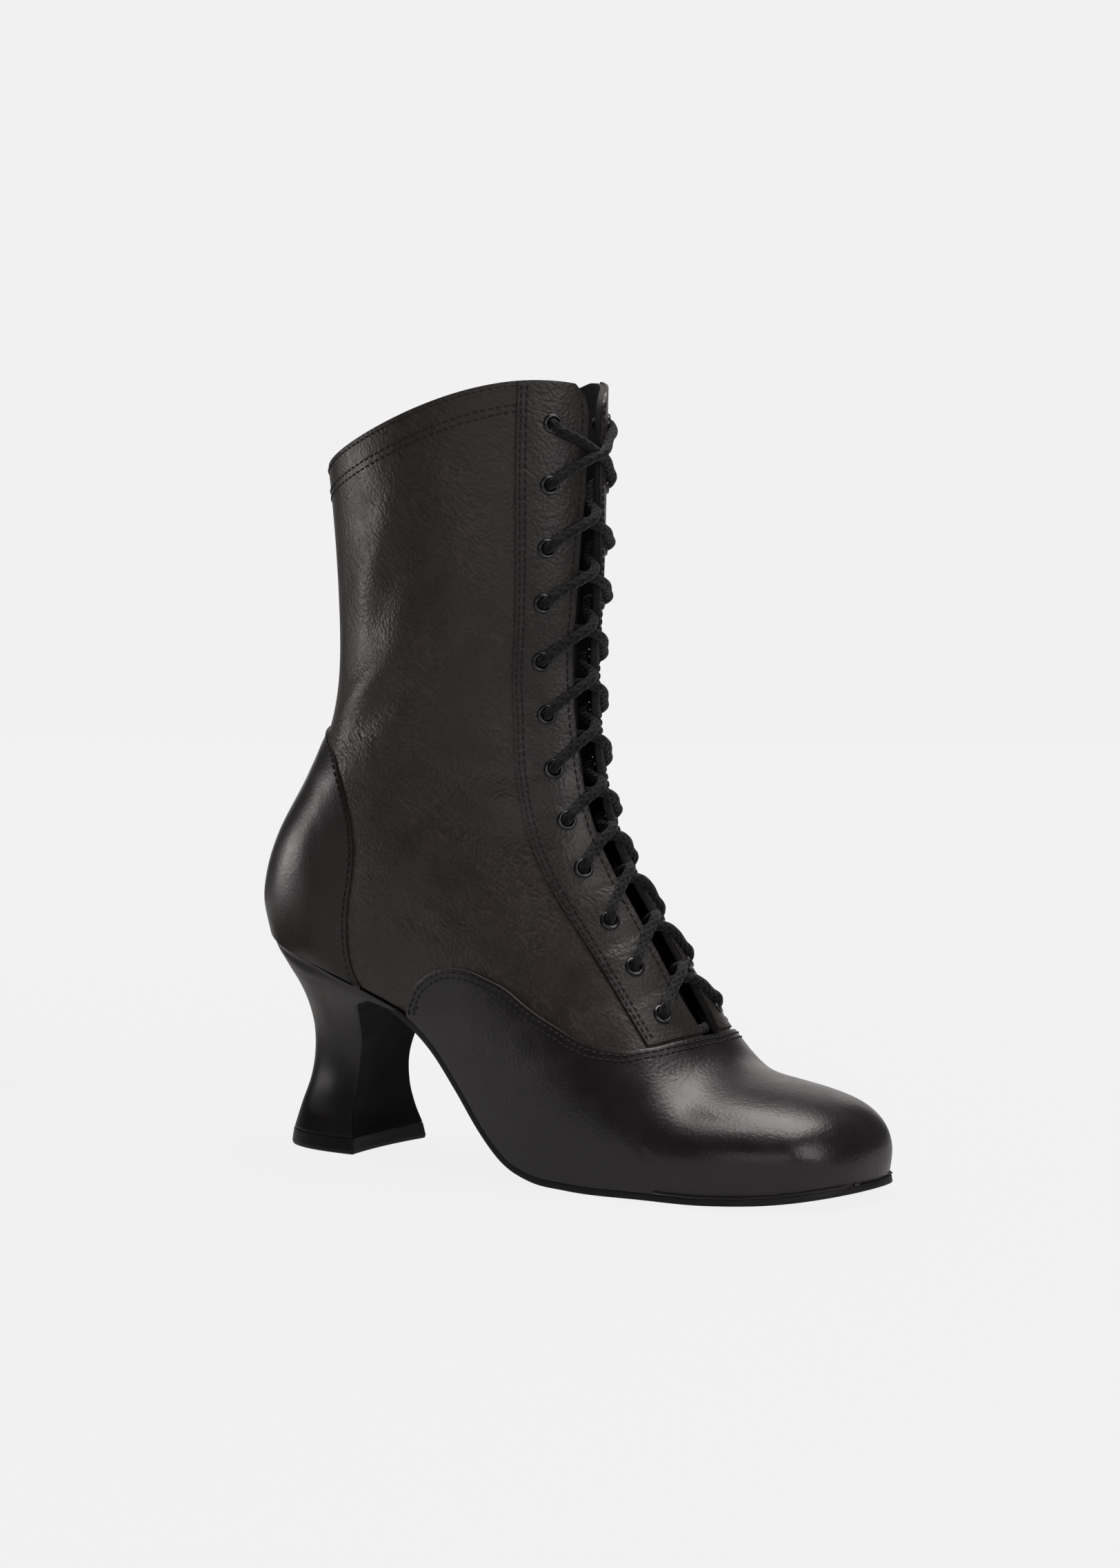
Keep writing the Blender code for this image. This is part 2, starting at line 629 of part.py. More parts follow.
def top_piece(finish, collection):
    """The wearing lift of the heel, with a small slope to its sides."""
    widest = HEEL_LEVELS[-1]
    rings = []
    for height, grow in ((TOP_PIECE_HEIGHT, 0.1), (1.0, 0.9), (0.0, 0.6)):
        level = HeelLevel(1.0, widest.back - grow, widest.breast + grow, widest.half_width + grow)
        x, y = heel_ring(level, 17)
        rings.append(np.stack([x, y, np.full(len(x), height)], -1) * MM)
    return loft("heel_top_piece", rings, finish, collection)


def eyelet_place(row, side):
    """Matrix with its origin on the eyestay's face and its Z axis outwards."""
    around = from_middle(row.along, row.from_middle, side)
    centre = upper_skin(row.along, around, np.array(GAP + OVERLAY)) * MM
    outward = Vector(upper_normal(row.along, around))
    turn = outward.to_track_quat("Z", "Y").to_matrix().to_4x4()
    return Matrix.Translation(Vector(centre)) @ turn


def eyelet_mesh(finish):
    """Profile of an eyelet: a sloping crown on a thin barrel, turned about Z by a Screw modifier."""
    depth = OVERLAY + GAP + WALL + GAP
    profile = (
        (EYELET_INNER, GAP + EYELET_CROWN),
        (EYELET_OUTER, GAP),
        (EYELET_BARREL, GAP),
        (EYELET_BARREL, -depth),
        (EYELET_INNER, -depth),
    )
    mesh = bpy.data.meshes.new("eyelet")
    points = [(radius * MM, 0.0, height * MM) for radius, height in profile]
    edges = [(index, (index + 1) % len(points)) for index in range(len(points))]
    mesh.from_pydata(points, edges, [])
    mesh.materials.append(finish)
    return mesh


def add_eyelet(name, mesh, place, collection):
    piece = bpy.data.objects.new(name, mesh)
    collection.objects.link(piece)
    piece.matrix_world = place
    turn = piece.modifiers.new("turn", "SCREW")
    turn.axis = "Z"
    turn.angle = 2 * math.pi
    turn.steps = 8
    turn.render_steps = 8
    turn.use_merge_vertices = True
    turn.merge_threshold = 0.00001
    return piece


def hole_cutter(places, collection):
    """All the eyelet holes, as one set of pins through upper and eyestays."""
    build = bmesh.new()
    for place in places:
        bmesh.ops.create_cone(
            build,
            cap_ends=True,
            segments=8,
            radius1=EYELET_HOLE * MM,
            radius2=EYELET_HOLE * MM,
            depth=14 * MM,
            matrix=place,
        )
    mesh = bpy.data.meshes.new("eyelet_holes")
    build.to_mesh(mesh)
    build.free()
    cutter = add_object("eyelet_holes", mesh, None, collection)
    cutter.hide_render = True
    cutter.display_type = "WIRE"
    return cutter


def cut(piece, cutter, operation="DIFFERENCE"):
    change = piece.modifiers.new(cutter.name, "BOOLEAN")
    change.operation = operation
    change.solver = "EXACT"
    change.object = cutter


def strand_points(lower, higher, side, path):
    """Points of a strand that leaves the lower eyelet on one side."""
    other = "medial" if side == "lateral" else "lateral"
    points = []
    for knot in path:
        along = lower.along + (higher.along - lower.along) * knot.up
        eyelet = lower.from_middle + (higher.from_middle - lower.from_middle) * knot.up
        on_side = side if knot.across >= 0 else other
        around = from_middle(along, abs(knot.across) * eyelet, on_side)
        points.append(upper_skin(along, around, np.array(knot.height)))
    return np.array(points) * MM


def strand_mesh(name, points):
    curve = bpy.data.curves.new(name, "CURVE")
    curve.dimensions = "3D"
    curve.bevel_depth = LACE_RADIUS * MM
    curve.bevel_resolution = 1
    curve.use_fill_caps = True
    spline = curve.splines.new("POLY")
    spline.points.add(len(points) - 1)
    for knot, point in zip(spline.points, points):
        knot.co = (*point, 1.0)
    guide = bpy.data.objects.new(name, curve)
    bpy.context.scene.collection.objects.link(guide)
    graph = bpy.context.evaluated_depsgraph_get()
    mesh = bpy.data.meshes.new_from_object(guide.evaluated_get(graph))
    bpy.data.objects.remove(guide)
    build = bmesh.new()
    build.from_mesh(mesh)
    bmesh.ops.remove_doubles(build, verts=build.verts, dist=0.00001)
    bmesh.ops.recalc_face_normals(build, faces=build.faces)
    build.to_mesh(mesh)
    build.free()
    return mesh


def lace_crossing(index, finish, collection, cutters):
    """Two strands that leave one pair of eyelets and cross over the gap, joined where they meet."""
    lower = EYELET_ROWS[index]
    higher = EYELET_ROWS[index + 1]
    path = TOP_CROSSING if index == len(EYELET_ROWS) - 2 else CROSSING
    name = f"lace_crossing_{index + 1:02d}"
    near = strand_mesh(name, strand_points(lower, higher, "lateral", path))
    far = strand_mesh(name + "_far", strand_points(lower, higher, "medial", path))
    near.shade_smooth()
    piece = add_object(name, near, finish, collection)
    helper = add_object(name + "_far", far, None, cutters)
    helper.hide_render = True
    helper.display_type = "WIRE"
    join = piece.modifiers.new("join", "BOOLEAN")
    join.operation = "UNION"
    join.solver = "EXACT"
    join.object = helper


for leftover in list(bpy.data.objects):
    bpy.data.objects.remove(leftover)

boot = bpy.data.collections.new("dance_boot")
cutters = bpy.data.collections.new("cutters")
bpy.context.scene.collection.children.link(boot)
bpy.context.scene.collection.children.link(cutters)

quarter_leather = material("quarter_leather", (0.022, 0.020, 0.019), 0.5)
vamp_leather = material("vamp_leather", (0.018, 0.016, 0.016), 0.28)
counter_leather = material("counter_leather", (0.018, 0.016, 0.016), 0.28)
eyestay_leather = material("eyestay_leather", (0.022, 0.020, 0.019), 0.5)
tongue_leather = material("tongue_leather", (0.015, 0.014, 0.014), 0.6)
insole_sock = material("insole_sock", (0.05, 0.045, 0.04), 0.7)
sole_leather = material("sole_leather", (0.012, 0.011, 0.011), 0.45)
heel_cover = material("heel_cover", (0.020, 0.018, 0.018), 0.4)
hard_rubber = material("hard_rubber", (0.010, 0.010, 0.010), 0.3)
enamelled_metal = material("enamelled_metal", (0.015, 0.015, 0.016), 0.3, 0.6)
lace_braid = material("lace_braid", (0.020, 0.021, 0.026), 0.75)

upper = shell("upper", upper_sheets(-WALL, 0.0), quarter_leather, boot)
vamp_side = side_cutter("vamp_outline", vamp_outline(0.0), cutters)
vamp_clear = side_cutter("vamp_outline_let_out", vamp_outline(1.5 * GAP), cutters)
counter_side = side_cutter("counter_outline", counter_outline(), cutters)
eyestay_sides = {
    "lateral": side_cutter("eyestay_outline_lateral", eyestay_outline(), cutters, last_y=-1.0),
    "medial": side_cutter("eyestay_outline_medial", eyestay_outline(), cutters, first_y=1.0),
}
vamp = shell("vamp", upper_sheets(GAP, GAP + OVERLAY), vamp_leather, boot)
cut(vamp, vamp_side, "INTERSECT")
counter = shell("counter", upper_sheets(GAP, GAP + OVERLAY), counter_leather, boot)
cut(counter, counter_side, "INTERSECT")
eyestays = []
for side, outline in eyestay_sides.items():
    eyestay = shell("eyestay_" + side, upper_sheets(GAP, GAP + OVERLAY), eyestay_leather, boot)
    cut(eyestay, outline, "INTERSECT")
    cut(eyestay, vamp_clear)
    eyestays.append(eyestay)
shell("tongue", tongue_sheet(16, 5), tongue_leather, boot)
shell("insole", insole_sheet(5), insole_sock, boot)
shell("outsole", outsole_sheet(5), sole_leather, boot)
heel_block(heel_cover, boot)
top_piece(hard_rubber, boot)

eyelet_profile = eyelet_mesh(enamelled_metal)
eyelet_places = []
for side in ("lateral", "medial"):
    for number, row in enumerate(EYELET_ROWS, start=1):
        place = eyelet_place(row, side)
        eyelet_places.append(place)
        add_eyelet(f"eyelet_{side}_{number:02d}", eyelet_profile, place, boot)
holes = hole_cutter(eyelet_places, cutters)
for piece in (upper, *eyestays):
    cut(piece, holes)

for index in range(len(EYELET_ROWS) - 1):
    lace_crossing(index, lace_braid, boot, cutters)
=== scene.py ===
"""Lace-up ladies' dance boot: polished vamp and counter, duller quarters, laced front, flared heel."""

import math

import bmesh
import bpy
import numpy as np
from mathutils import Matrix, Vector


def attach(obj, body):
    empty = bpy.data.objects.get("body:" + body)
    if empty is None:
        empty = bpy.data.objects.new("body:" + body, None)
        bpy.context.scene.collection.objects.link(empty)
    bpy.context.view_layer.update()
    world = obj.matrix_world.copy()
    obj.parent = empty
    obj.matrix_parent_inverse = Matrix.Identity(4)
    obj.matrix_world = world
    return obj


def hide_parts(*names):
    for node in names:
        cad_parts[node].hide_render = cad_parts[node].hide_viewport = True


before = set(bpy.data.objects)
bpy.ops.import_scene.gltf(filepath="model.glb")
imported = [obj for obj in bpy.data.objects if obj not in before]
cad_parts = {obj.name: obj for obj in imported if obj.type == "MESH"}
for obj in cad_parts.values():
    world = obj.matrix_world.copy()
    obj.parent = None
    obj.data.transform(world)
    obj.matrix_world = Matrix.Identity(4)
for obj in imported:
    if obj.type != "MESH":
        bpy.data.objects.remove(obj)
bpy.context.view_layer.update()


# Insole: a leather board with a thin black cloth sock on it. The lasted edge of the upper is
# cemented round its underside, so it fills the bottom of the boot from the heel to the toe.
MM = 0.001
INSOLE_THICKNESS = 2.2
INSOLE_EASE = 3.2  # inside the feather line, for the thickness of the upper
INSOLE_ROUND = 6  # its ends are rounded over this length
HEEL_BACK = -26.2
TOE_TIP = 200.4
TOE_ROUNDING = 1.85
SOLE_PLACES = (0, 20, 45, 70, 95, 120, 142, 160, 176)
LATERAL_WIDTHS = (26.5, 28, 27.5, 31, 36.5, 39.5, 39.7, 38, 34)
MEDIAL_WIDTHS = (26.5, 27, 24, 25, 30.5, 35.5, 37, 35, 30.5)
PROFILE_PLACES = (-30, -10, 10, 28, 42, 55, 66, 76, 86, 97, 112, 140, 165, 185, 204)
PROFILE_HEIGHTS = (76, 68.7, 62.2, 56.2, 49.8, 40, 28, 16.4, 8.0, 3.8, 2.5, 2.5, 2.5, 3.9, 6.8)


def through(places, values, at):
    """Smooth curve through the values at these places, read at other places."""
    places = np.asarray(places, float)
    values = np.asarray(values, float)
    step = np.diff(places)
    rise = np.diff(values) / step
    slope = np.zeros(len(places))
    slope[1:-1] = (rise[:-1] * step[1:] + rise[1:] * step[:-1]) / (step[1:] + step[:-1])
    slope[0] = 1.5 * rise[0] - 0.5 * slope[1]
    slope[-1] = 1.5 * rise[-1] - 0.5 * slope[-2]
    at = np.clip(np.asarray(at, float), places[0], places[-1])
    index = np.clip(np.searchsorted(places, at, side="right") - 1, 0, len(places) - 2)
    length = step[index]
    share = (at - places[index]) / length
    rest = 1 - share
    start = (1 + 2 * share) * rest**2 * values[index] + share * rest**2 * length * slope[index]
    end = share**2 * (3 - 2 * share) * values[index + 1]
    return start + end - share**2 * rest * length * slope[index + 1]


def sole_line(x):
    """Height of the feather line, where the upper meets the sole."""
    return through(PROFILE_PLACES, PROFILE_HEIGHTS, x)


def feather_width(x, widths):
    """Half-width of the feather line at x, on the side that these widths belong to."""
    x = np.asarray(x, float)
    first, last = SOLE_PLACES[0], SOLE_PLACES[-1]
    middle = through(SOLE_PLACES, widths, x)
    behind = np.clip((first - x) / (first - HEEL_BACK), 0, 1)
    ahead = np.clip((x - last) / (TOE_TIP - last), 0, 1)
    taper = 2 * (middle - through(SOLE_PLACES, widths, last - 0.5))
    toe = widths[-1] + taper * (TOE_TIP - last) * ahead * (1 - ahead)
    toe = toe * np.sqrt(1 - ahead**TOE_ROUNDING)
    return np.where(x < first, widths[0] * np.sqrt(1 - behind**2), np.where(x > last, toe, middle))


def side_width(x, medial):
    """Half-width of the feather line at x, on each point's own side."""
    return np.where(medial, feather_width(x, MEDIAL_WIDTHS), feather_width(x, LATERAL_WIDTHS))


def grid_piece(name, across_count, along_count, place):
    """A grid whose points are put in place, in millimetres, from their shares across and along it."""
    bpy.ops.object.select_all(action="DESELECT")
    bpy.ops.mesh.primitive_grid_add(x_subdivisions=across_count, y_subdivisions=along_count, size=2)
    piece = bpy.context.object
    piece.name = name
    piece.data.name = name
    points = np.empty(len(piece.data.vertices) * 3)
    piece.data.vertices.foreach_get("co", points)
    shares = points.reshape(-1, 3)[:, :2] / 2 + 0.5
    points = np.asarray(place(shares[:, 0], shares[:, 1])) * MM
    piece.data.vertices.foreach_set("co", points.ravel())
    piece.data.update()
    return piece


def choose(*pieces):
    """Selects these pieces alone, with the first of them active."""
    bpy.ops.object.select_all(action="DESELECT")
    for piece in pieces:
        piece.select_set(True)
    bpy.context.view_layer.objects.active = pieces[0]


def edit_mesh(piece, *changes):
    """Runs mesh operators, given with their settings, on the whole of a piece."""
    choose(piece)
    bpy.ops.object.mode_set(mode="EDIT")
    for change, settings in changes:
        bpy.ops.mesh.select_all(action="SELECT")
        change(**settings)
    bpy.ops.object.mode_set(mode="OBJECT")


def merge_doubles(piece, distance=0.02):
    """Closes the seams and poles of a piece, where its points lie on each other."""
    edit_mesh(
        piece,
        (bpy.ops.mesh.remove_doubles, {"threshold": distance * MM}),
        (bpy.ops.mesh.dissolve_degenerate, {"threshold": distance * MM / 4}),
    )


def apply_modifier(piece, kind, **settings):
    choose(piece)
    change = piece.modifiers.new(kind, kind)
    for name, value in settings.items():
        setattr(change, name, value)
    bpy.ops.object.modifier_apply(modifier=change.name)


def round_edges(piece, edge_round, sharpest=50):
    """Rounds the edges that turn by more than this angle and shades the rest smooth."""
    sizes = {"width": edge_round * MM, "segments": 2, "angle_limit": math.radians(sharpest)}
    apply_modifier(piece, "BEVEL", limit_method="ANGLE", **sizes)
    bpy.ops.object.shade_smooth_by_angle(angle=math.radians(40))


def thicken(piece, thickness, edge_round, **settings):
    """Gives a sheet its thickness behind its face, and rounds its cut edges."""
    apply_modifier(piece, "SOLIDIFY", thickness=thickness * MM, offset=-1, **settings)
    round_edges(piece, edge_round)


def colour(code):
    """Linear colour from an sRGB hex value."""
    values = [int(code[place : place + 2], 16) / 255 for place in (1, 3, 5)]
    linear = [value / 12.92 if value <= 0.04045 else ((value + 0.055) / 1.055) ** 2.4 for value in values]
    return (*linear, 1.0)


def add_node(tree, kind, links=None, **settings):
    """Adds a node. Settings are its properties; links are its inputs, as values or other nodes' outputs."""
    made = tree.nodes.new(kind)
    for name, value in settings.items():
        setattr(made, name, value)
    for name, value in (links or {}).items():
        if isinstance(value, bpy.types.NodeSocket):
            tree.links.new(value, made.inputs[name])
        else:
            made.inputs[name].default_value = value
    return made


def new_material(name, **values):
    """A material with these values on its shader; gives it, its node tree and the shader."""
    made = bpy.data.materials.new(name)
    made.use_nodes = True
    shader = made.node_tree.nodes["Principled BSDF"]
    for socket, value in values.items():
        shader.inputs[socket.replace("_", " ")].default_value = value
    return made, made.node_tree, shader


def drive(tree, shader, **outputs):
    """Links nodes' outputs to the shader's inputs."""
    for socket, output in outputs.items():
        tree.links.new(output, shader.inputs[socket.replace("_", " ")])


def object_place(tree):
    return add_node(tree, "ShaderNodeTexCoord").outputs["Object"]


def calculate(tree, operation, *values):
    """The result of a sum on numbers or other nodes' outputs."""
    return add_node(tree, "ShaderNodeMath", dict(enumerate(values)), operation=operation).outputs[0]


def mixed(tree, factor, first, second):
    """A colour between two others."""
    links = {"Factor": factor, "A": first, "B": second}
    return add_node(tree, "ShaderNodeMix", links, data_type="RGBA").outputs["Result"]


def bump(tree, height, strength, depth, under=None, **settings):
    """The normal of a relief of this depth in millimetres, on top of another one."""
    links = {"Height": height, "Strength": strength, "Distance": depth * MM}
    if under:
        links["Normal"] = under
    return add_node(tree, "ShaderNodeBump", links, **settings).outputs["Normal"]


def finish_piece(piece, nodes):
    """Rides on the body and stands for the CAD nodes, which it hides."""
    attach(piece, "root")
    if nodes:
        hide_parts(*nodes)


def insole_place(across, along):
    first, last = HEEL_BACK + INSOLE_EASE, TOE_TIP - INSOLE_EASE
    x = first + (last - first) * (1 - np.cos(along * math.pi)) / 2
    ends = np.clip(np.minimum(x - first, last - x) / INSOLE_ROUND, 0, 1)
    widths = side_width(x, across <= 0.5)
    y = (1 - 2 * across) * np.maximum(widths - INSOLE_EASE, 0) * np.sqrt(ends * (2 - ends))
    return np.stack([x, y, sole_line(x) + INSOLE_THICKNESS], -1)


insole = grid_piece("insole_sock", 24, 90, insole_place)
merge_doubles(insole)
thicken(insole, INSOLE_THICKNESS, 0.4)

# Cotton sock: a matt black plain weave, of 0.9 mm threads so that it shows.
SOCK_THREAD = 0.9
WAVE_LENGTH = 0.314  # of the wave texture at scale 1; one wave is two threads
sock_cloth, tree, shader = new_material("cotton_sock", Roughness=0.9)
run = {"Vector": object_place(tree), "Scale": WAVE_LENGTH / (2 * SOCK_THREAD * MM)}
warp, weft = (add_node(tree, "ShaderNodeTexWave", run, bands_direction=way).outputs["Fac"] for way in "XY")
weave = calculate(tree, "MULTIPLY", warp, weft)
# The low places of the weave are painted darker than the threads' tops: painted shade.
tone = mixed(tree, weave, colour("#1c1a19"), colour("#3a3634"))
drive(tree, shader, Base_Color=tone, Normal=bump(tree, weave, 0.5, 0.2))
insole.data.materials.append(sock_cloth)
finish_piece(insole, ["insole"])


# Upper: the quarters and shaft of soft black calf, closed at the back and lined with thin black
# leather. It is lasted over the insole and stays open at the collar and down the lacing.
SIDES = ("lateral", "medial")
WALL = 1.8
SECTION_NAMES = ("under_x", "under_z", "over_x", "over_z", "lateral", "medial", "belly_at", "front_round")
SECTION_NAMES += ("ridge_y", "shut", "bow")
# Sections from the toe to the collar, each in a plane from a point under or behind the foot to a point
# over or before it: greatest half-widths, where they are, roundness in front, closing behind, lift
SECTIONS = (
    (200.4, None, 200.4, 8.0, 0.0, 0.0, 0.35, 2.0, 0.0, 0.0, 0.0),
    (199.6, None, 200.4, 13.6, 8.4, 7.2, 0.40, 2.0, 0.0, 0.0, 0.0),
    (197.4, None, 199.0, 19.4, 16.8, 14.4, 0.42, 2.1, 0.0, 0.0, 0.0),
    (193.0, None, 194.8, 25.0, 24.8, 21.4, 0.42, 2.15, 0.0, 0.0, 0.0),
    (186.0, None, 187.4, 29.4, 31.6, 27.6, 0.42, 2.1, 0.0, 0.0, 0.0),
    (175.5, None, 176.2, 32.3, 36.4, 32.4, 0.40, 2.0, 0.5, 0.0, 0.0),
    (161.5, None, 162.3, 34.6, 39.8, 36.4, 0.38, 1.85, 1.0, 0.0, 0.0),
    (146.0, None, 148.0, 39.9, 41.0, 38.6, 0.34, 1.65, 1.0, 0.0, 0.0),
    (128.0, None, 137.0, 55.2, 40.8, 38.2, 0.32, 1.5, 0.5, 0.0, 0.0),
    (110.0, None, 126.0, 73.9, 39.4, 36.4, 0.32, 1.45, 0.0, 0.0, 0.0),
    (92.0, None, 115.7, 90.0, 37.2, 33.4, 0.34, 1.45, 0.0, 0.0, 0.0),
    (73.0, None, 108.4, 101.4, 34.4, 31.0, 0.36, 1.5, 0.0, 0.0, 0.0),
    (50.0, None, 103.9, 110.0, 32.6, 30.2, 0.40, 1.6, 0.0, 0.0, 0.0),
    (24.0, None, 100.7, 118.5, 32.2, 31.0, 0.44, 1.7, 0.0, 0.0, 0.0),
    (0.0, None, 98.5, 127.5, 32.6, 31.8, 0.46, 1.8, 0.0, 0.0, 0.0),
    (-16.4, None, 97.1, 137.0, 32.8, 32.4, 0.46, 1.85, 0.0, 0.3, 0.0),
    (-24.0, None, 96.1, 145.5, 32.8, 32.6, 0.46, 1.9, 0.0, 0.7, 0.0),
    (-26.2, None, 95.6, 152.5, 32.9, 32.8, 0.46, 1.9, 0.0, 1.0, 0.0),
    (-28.0, 83.0, 95.3, 159.0, 33.0, 33.0, 0.46, 1.9, 0.0, 1.0, 0.0),
    (-26.2, 93.5, 95.1, 166.0, 33.2, 33.2, 0.46, 1.9, 0.0, 1.0, 0.0),
    (-20.6, 106.0, 95.1, 173.5, 33.6, 33.6, 0.47, 1.9, 0.0, 1.0, 0.0),
    (-11.8, 121.0, 95.4, 182.0, 34.0, 34.0, 0.48, 1.9, 0.0, 1.0, 0.0),
    (-2.8, 138.0, 95.7, 192.0, 34.6, 34.6, 0.48, 1.9, 0.0, 1.0, 0.3),
    (1.6, 158.0, 96.1, 205.0, 35.2, 35.2, 0.48, 1.9, 0.0, 1.0, 1.0),
    (1.9, 181.0, 96.6, 220.5, 36.2, 36.2, 0.48, 1.9, 0.0, 1.0, 2.5),
    (0.6, 204.0, 97.2, 236.5, 37.2, 37.2, 0.48, 1.9, 0.0, 1.0, 5.0),
    (-1.6, 225.5, 97.8, 252.5, 38.2, 38.2, 0.48, 1.9, 0.0, 1.0, 8.0),
)
COLLAR = 26.0
SEAT_END = 17.0  # the section at the rear end of the seat; those above it are closed rings
SEAT_TURN = 3.0  # the sections' lower ends slow down over this many, to turn from the seat to the back seam
# Round back of the heel: heights, its rear end and its half-width at HEEL_MIDDLE
HEEL_MIDDLE = 20
ROUND_TOP = 124  # the round form ends at this height
ROUND_FADE = 22  # and blends in below it over this much
ROUND_AHEAD = 16  # and over this much behind HEEL_MIDDLE
SEAT_FIT = 6  # it leaves the seat's own outline over this height
HEEL_HEIGHTS = (50, 58.9, 66, 74.6, 83, 93.5, 106, 121, 138)
HEEL_ENDS = (-16.4, -20.6, -23.6, -26.2, -28, -26.2, -20.6, -11.8, -2.8)
HEEL_WIDTHS = (26.6, 28, 29.4, 30.4, 31.2, 31.8, 32.1, 32.3, 32.8)
BELLY_SHARE = 0.4
BELLY_EASE = 0.045  # the turn at the widest place is eased over this share to either side
SOLE_EASE = 0.12  # but less and less within this share of the sole
BOW_PEAK = 2.4  # powers that set where the collar's rise is greatest, and how full it is
BOW_FULLNESS = 0.45
GAP_SECTIONS = (7.1, 7.5, 8.2, 10, 13, 17, 20.5, 22.7, 24, 25.5, 25.8, 26)
HALF_GAPS = (0, 4.6, 6.6, 6.5, 6.7, 7.5, 7.6, 6.4, 4.4, 4.0, 5.4, 9.5)
# Eyelet places from the throat up: section, distance from the middle of the front
EYELET_ROWS = ((8.29, 17.4), (9.17, 17.7), (10.12, 17.0), (11.54, 16.0), (13.08, 15.4), (14.83, 16.3))
EYELET_ROWS += ((17.21, 17.3), (19.67, 18.8), (21.71, 19.2), (23.0, 18.3), (24.17, 17.7), (25.25, 17.1))
EYELET_HOLE = 2.6
HOLE_DEPTH = 5  # a hole is punched this far either way
MEDIAL_DROP = 0.16  # the medial facing's top corner stands lower, in sections
DROP_FADE = 4.4  # the drop is gone at 1 / DROP_FADE of the eased way round
EDGE_CLOSER = 1.5  # power that brings the grid's points closer together at the facing edge
MEDIAL_FOLDS = 0.7  # the medial side's folds are this much of the lateral ones
FOLD_REACH = 2.5  # half-widths at which a fold has died out
FOLD_FADE = 0.7  # power with which it fades towards its ends
# Soft folds of the worn leather: half-width, height (minus: a trough), places as section and share round
FOLDS = (
    (6.0, 0.8, ((25.2, 0.41), (24.6, 0.375), (23.96, 0.313), (23.5, 0.27))),
    (7.0, -0.4, ((25.2, 0.29), (24.44, 0.23), (23.33, 0.25), (22.59, 0.26))),
    (5.0, -0.5, ((24.3, 0.45), (23.6, 0.37), (23.0, 0.33), (22.4, 0.33))),
    (5.0, -0.9, ((21.7, 0.44), (21.1, 0.371), (20.8, 0.28))),
    (4.5, 0.8, ((22.5, 0.40), (22.14, 0.31), (21.9, 0.23))),
    (6.0, -0.7, ((23.2, 0.44), (22.3, 0.47), (21.4, 0.50), (20.2, 0.50))),
    (9.0, 0.5, ((25.0, 0.52), (24.2, 0.53), (23.2, 0.55))),
    (8.0, -0.5, ((22.6, 0.60), (21.4, 0.61), (19.8, 0.60))),
    (5.0, -0.8, ((18.9, 0.54), (16.7, 0.64), (15.05, 0.74))),
    (5.0, -0.7, ((15.5, 0.55), (13.86, 0.63), (13.15, 0.70))),
    (4.0, 0.5, ((17.2, 0.53), (15.2, 0.61), (14.2, 0.69))),
    (3.2, -0.5, ((13.97, 0.354), (12.93, 0.361), (11.82, 0.417))),
    (3.2, -0.45, ((13.97, 0.40), (12.71, 0.43), (11.63, 0.484))),
    (3.2, -0.45, ((14.12, 0.467), (12.75, 0.50), (11.63, 0.573))),
    (2.6, -0.4, ((15.16, 0.75), (14.75, 0.81), (14.4, 0.90))),
    (2.6, -0.4, ((13.9, 0.74), (13.53, 0.81), (13.3, 0.90))),
    (2.8, -0.35, ((12.3, 0.706), (11.93, 0.80), (11.75, 0.90))),
    (2.8, -0.35, ((11.34, 0.71), (10.93, 0.80), (10.6, 0.91))),
    (2.8, -0.3, ((10.07, 0.68), (9.74, 0.77), (9.5, 0.90))),
    (2.6, -0.3, ((9.0, 0.66), (8.75, 0.76), (8.6, 0.88))),
    (1.6, -0.22, ((7.95, 0.485), (7.57, 0.459), (7.22, 0.436))),
    (1.6, -0.22, ((7.66, 0.443), (7.34, 0.403), (7.04, 0.348))),
    (1.6, -0.2, ((7.60, 0.515), (7.19, 0.472), (6.84, 0.417))),
)


def eased(share):
    """A share from 0 to 1 that starts and stops gently."""
    share = np.clip(share, 0, 1)
    return share**2 * (3 - 2 * share)


def unit(vectors):
    return vectors / np.linalg.norm(vectors, axis=-1, keepdims=True)


def section_curve(name):
    """One size of the sections, and how it bends at each of them for an even curve through them all."""
    values = np.array([row[SECTION_NAMES.index(name)] or 0.0 for row in SECTIONS])
    if name == "under_z":
        values = np.array([sole_line(row[0]) if row[1] is None else row[1] for row in SECTIONS], float)
    count = len(values)
    system = np.eye(count) * 4 + np.eye(count, k=1) + np.eye(count, k=-1)
    bends = np.zeros(count)
    bends[1:-1] = 6 * np.diff(values, 2)
    system[-1, -2:] = 0, 1
    if name in ("under_x", "over_x"):  # the toe has no point
        system[0, :2] = 2, 1
        bends[0] = 6 * (values[1] - values[0])
    else:
        system[0, :2] = 1, 0
    return values, np.linalg.solve(system, bends)


SECTION_CURVES = {name: section_curve(name) for name in SECTION_NAMES}


def section_value(name, along):
    """A size of the sections read at any place along."""
    values, bends = SECTION_CURVES[name]
    along = np.clip(along, 0, COLLAR)
    index = np.clip(np.floor(along).astype(int), 0, len(values) - 2)
    share = along - index
    rest = 1 - share
    line = rest * values[index] + share * values[index + 1]
    return line + ((rest**3 - rest) * bends[index] + (share**3 - share) * bends[index + 1]) / 6


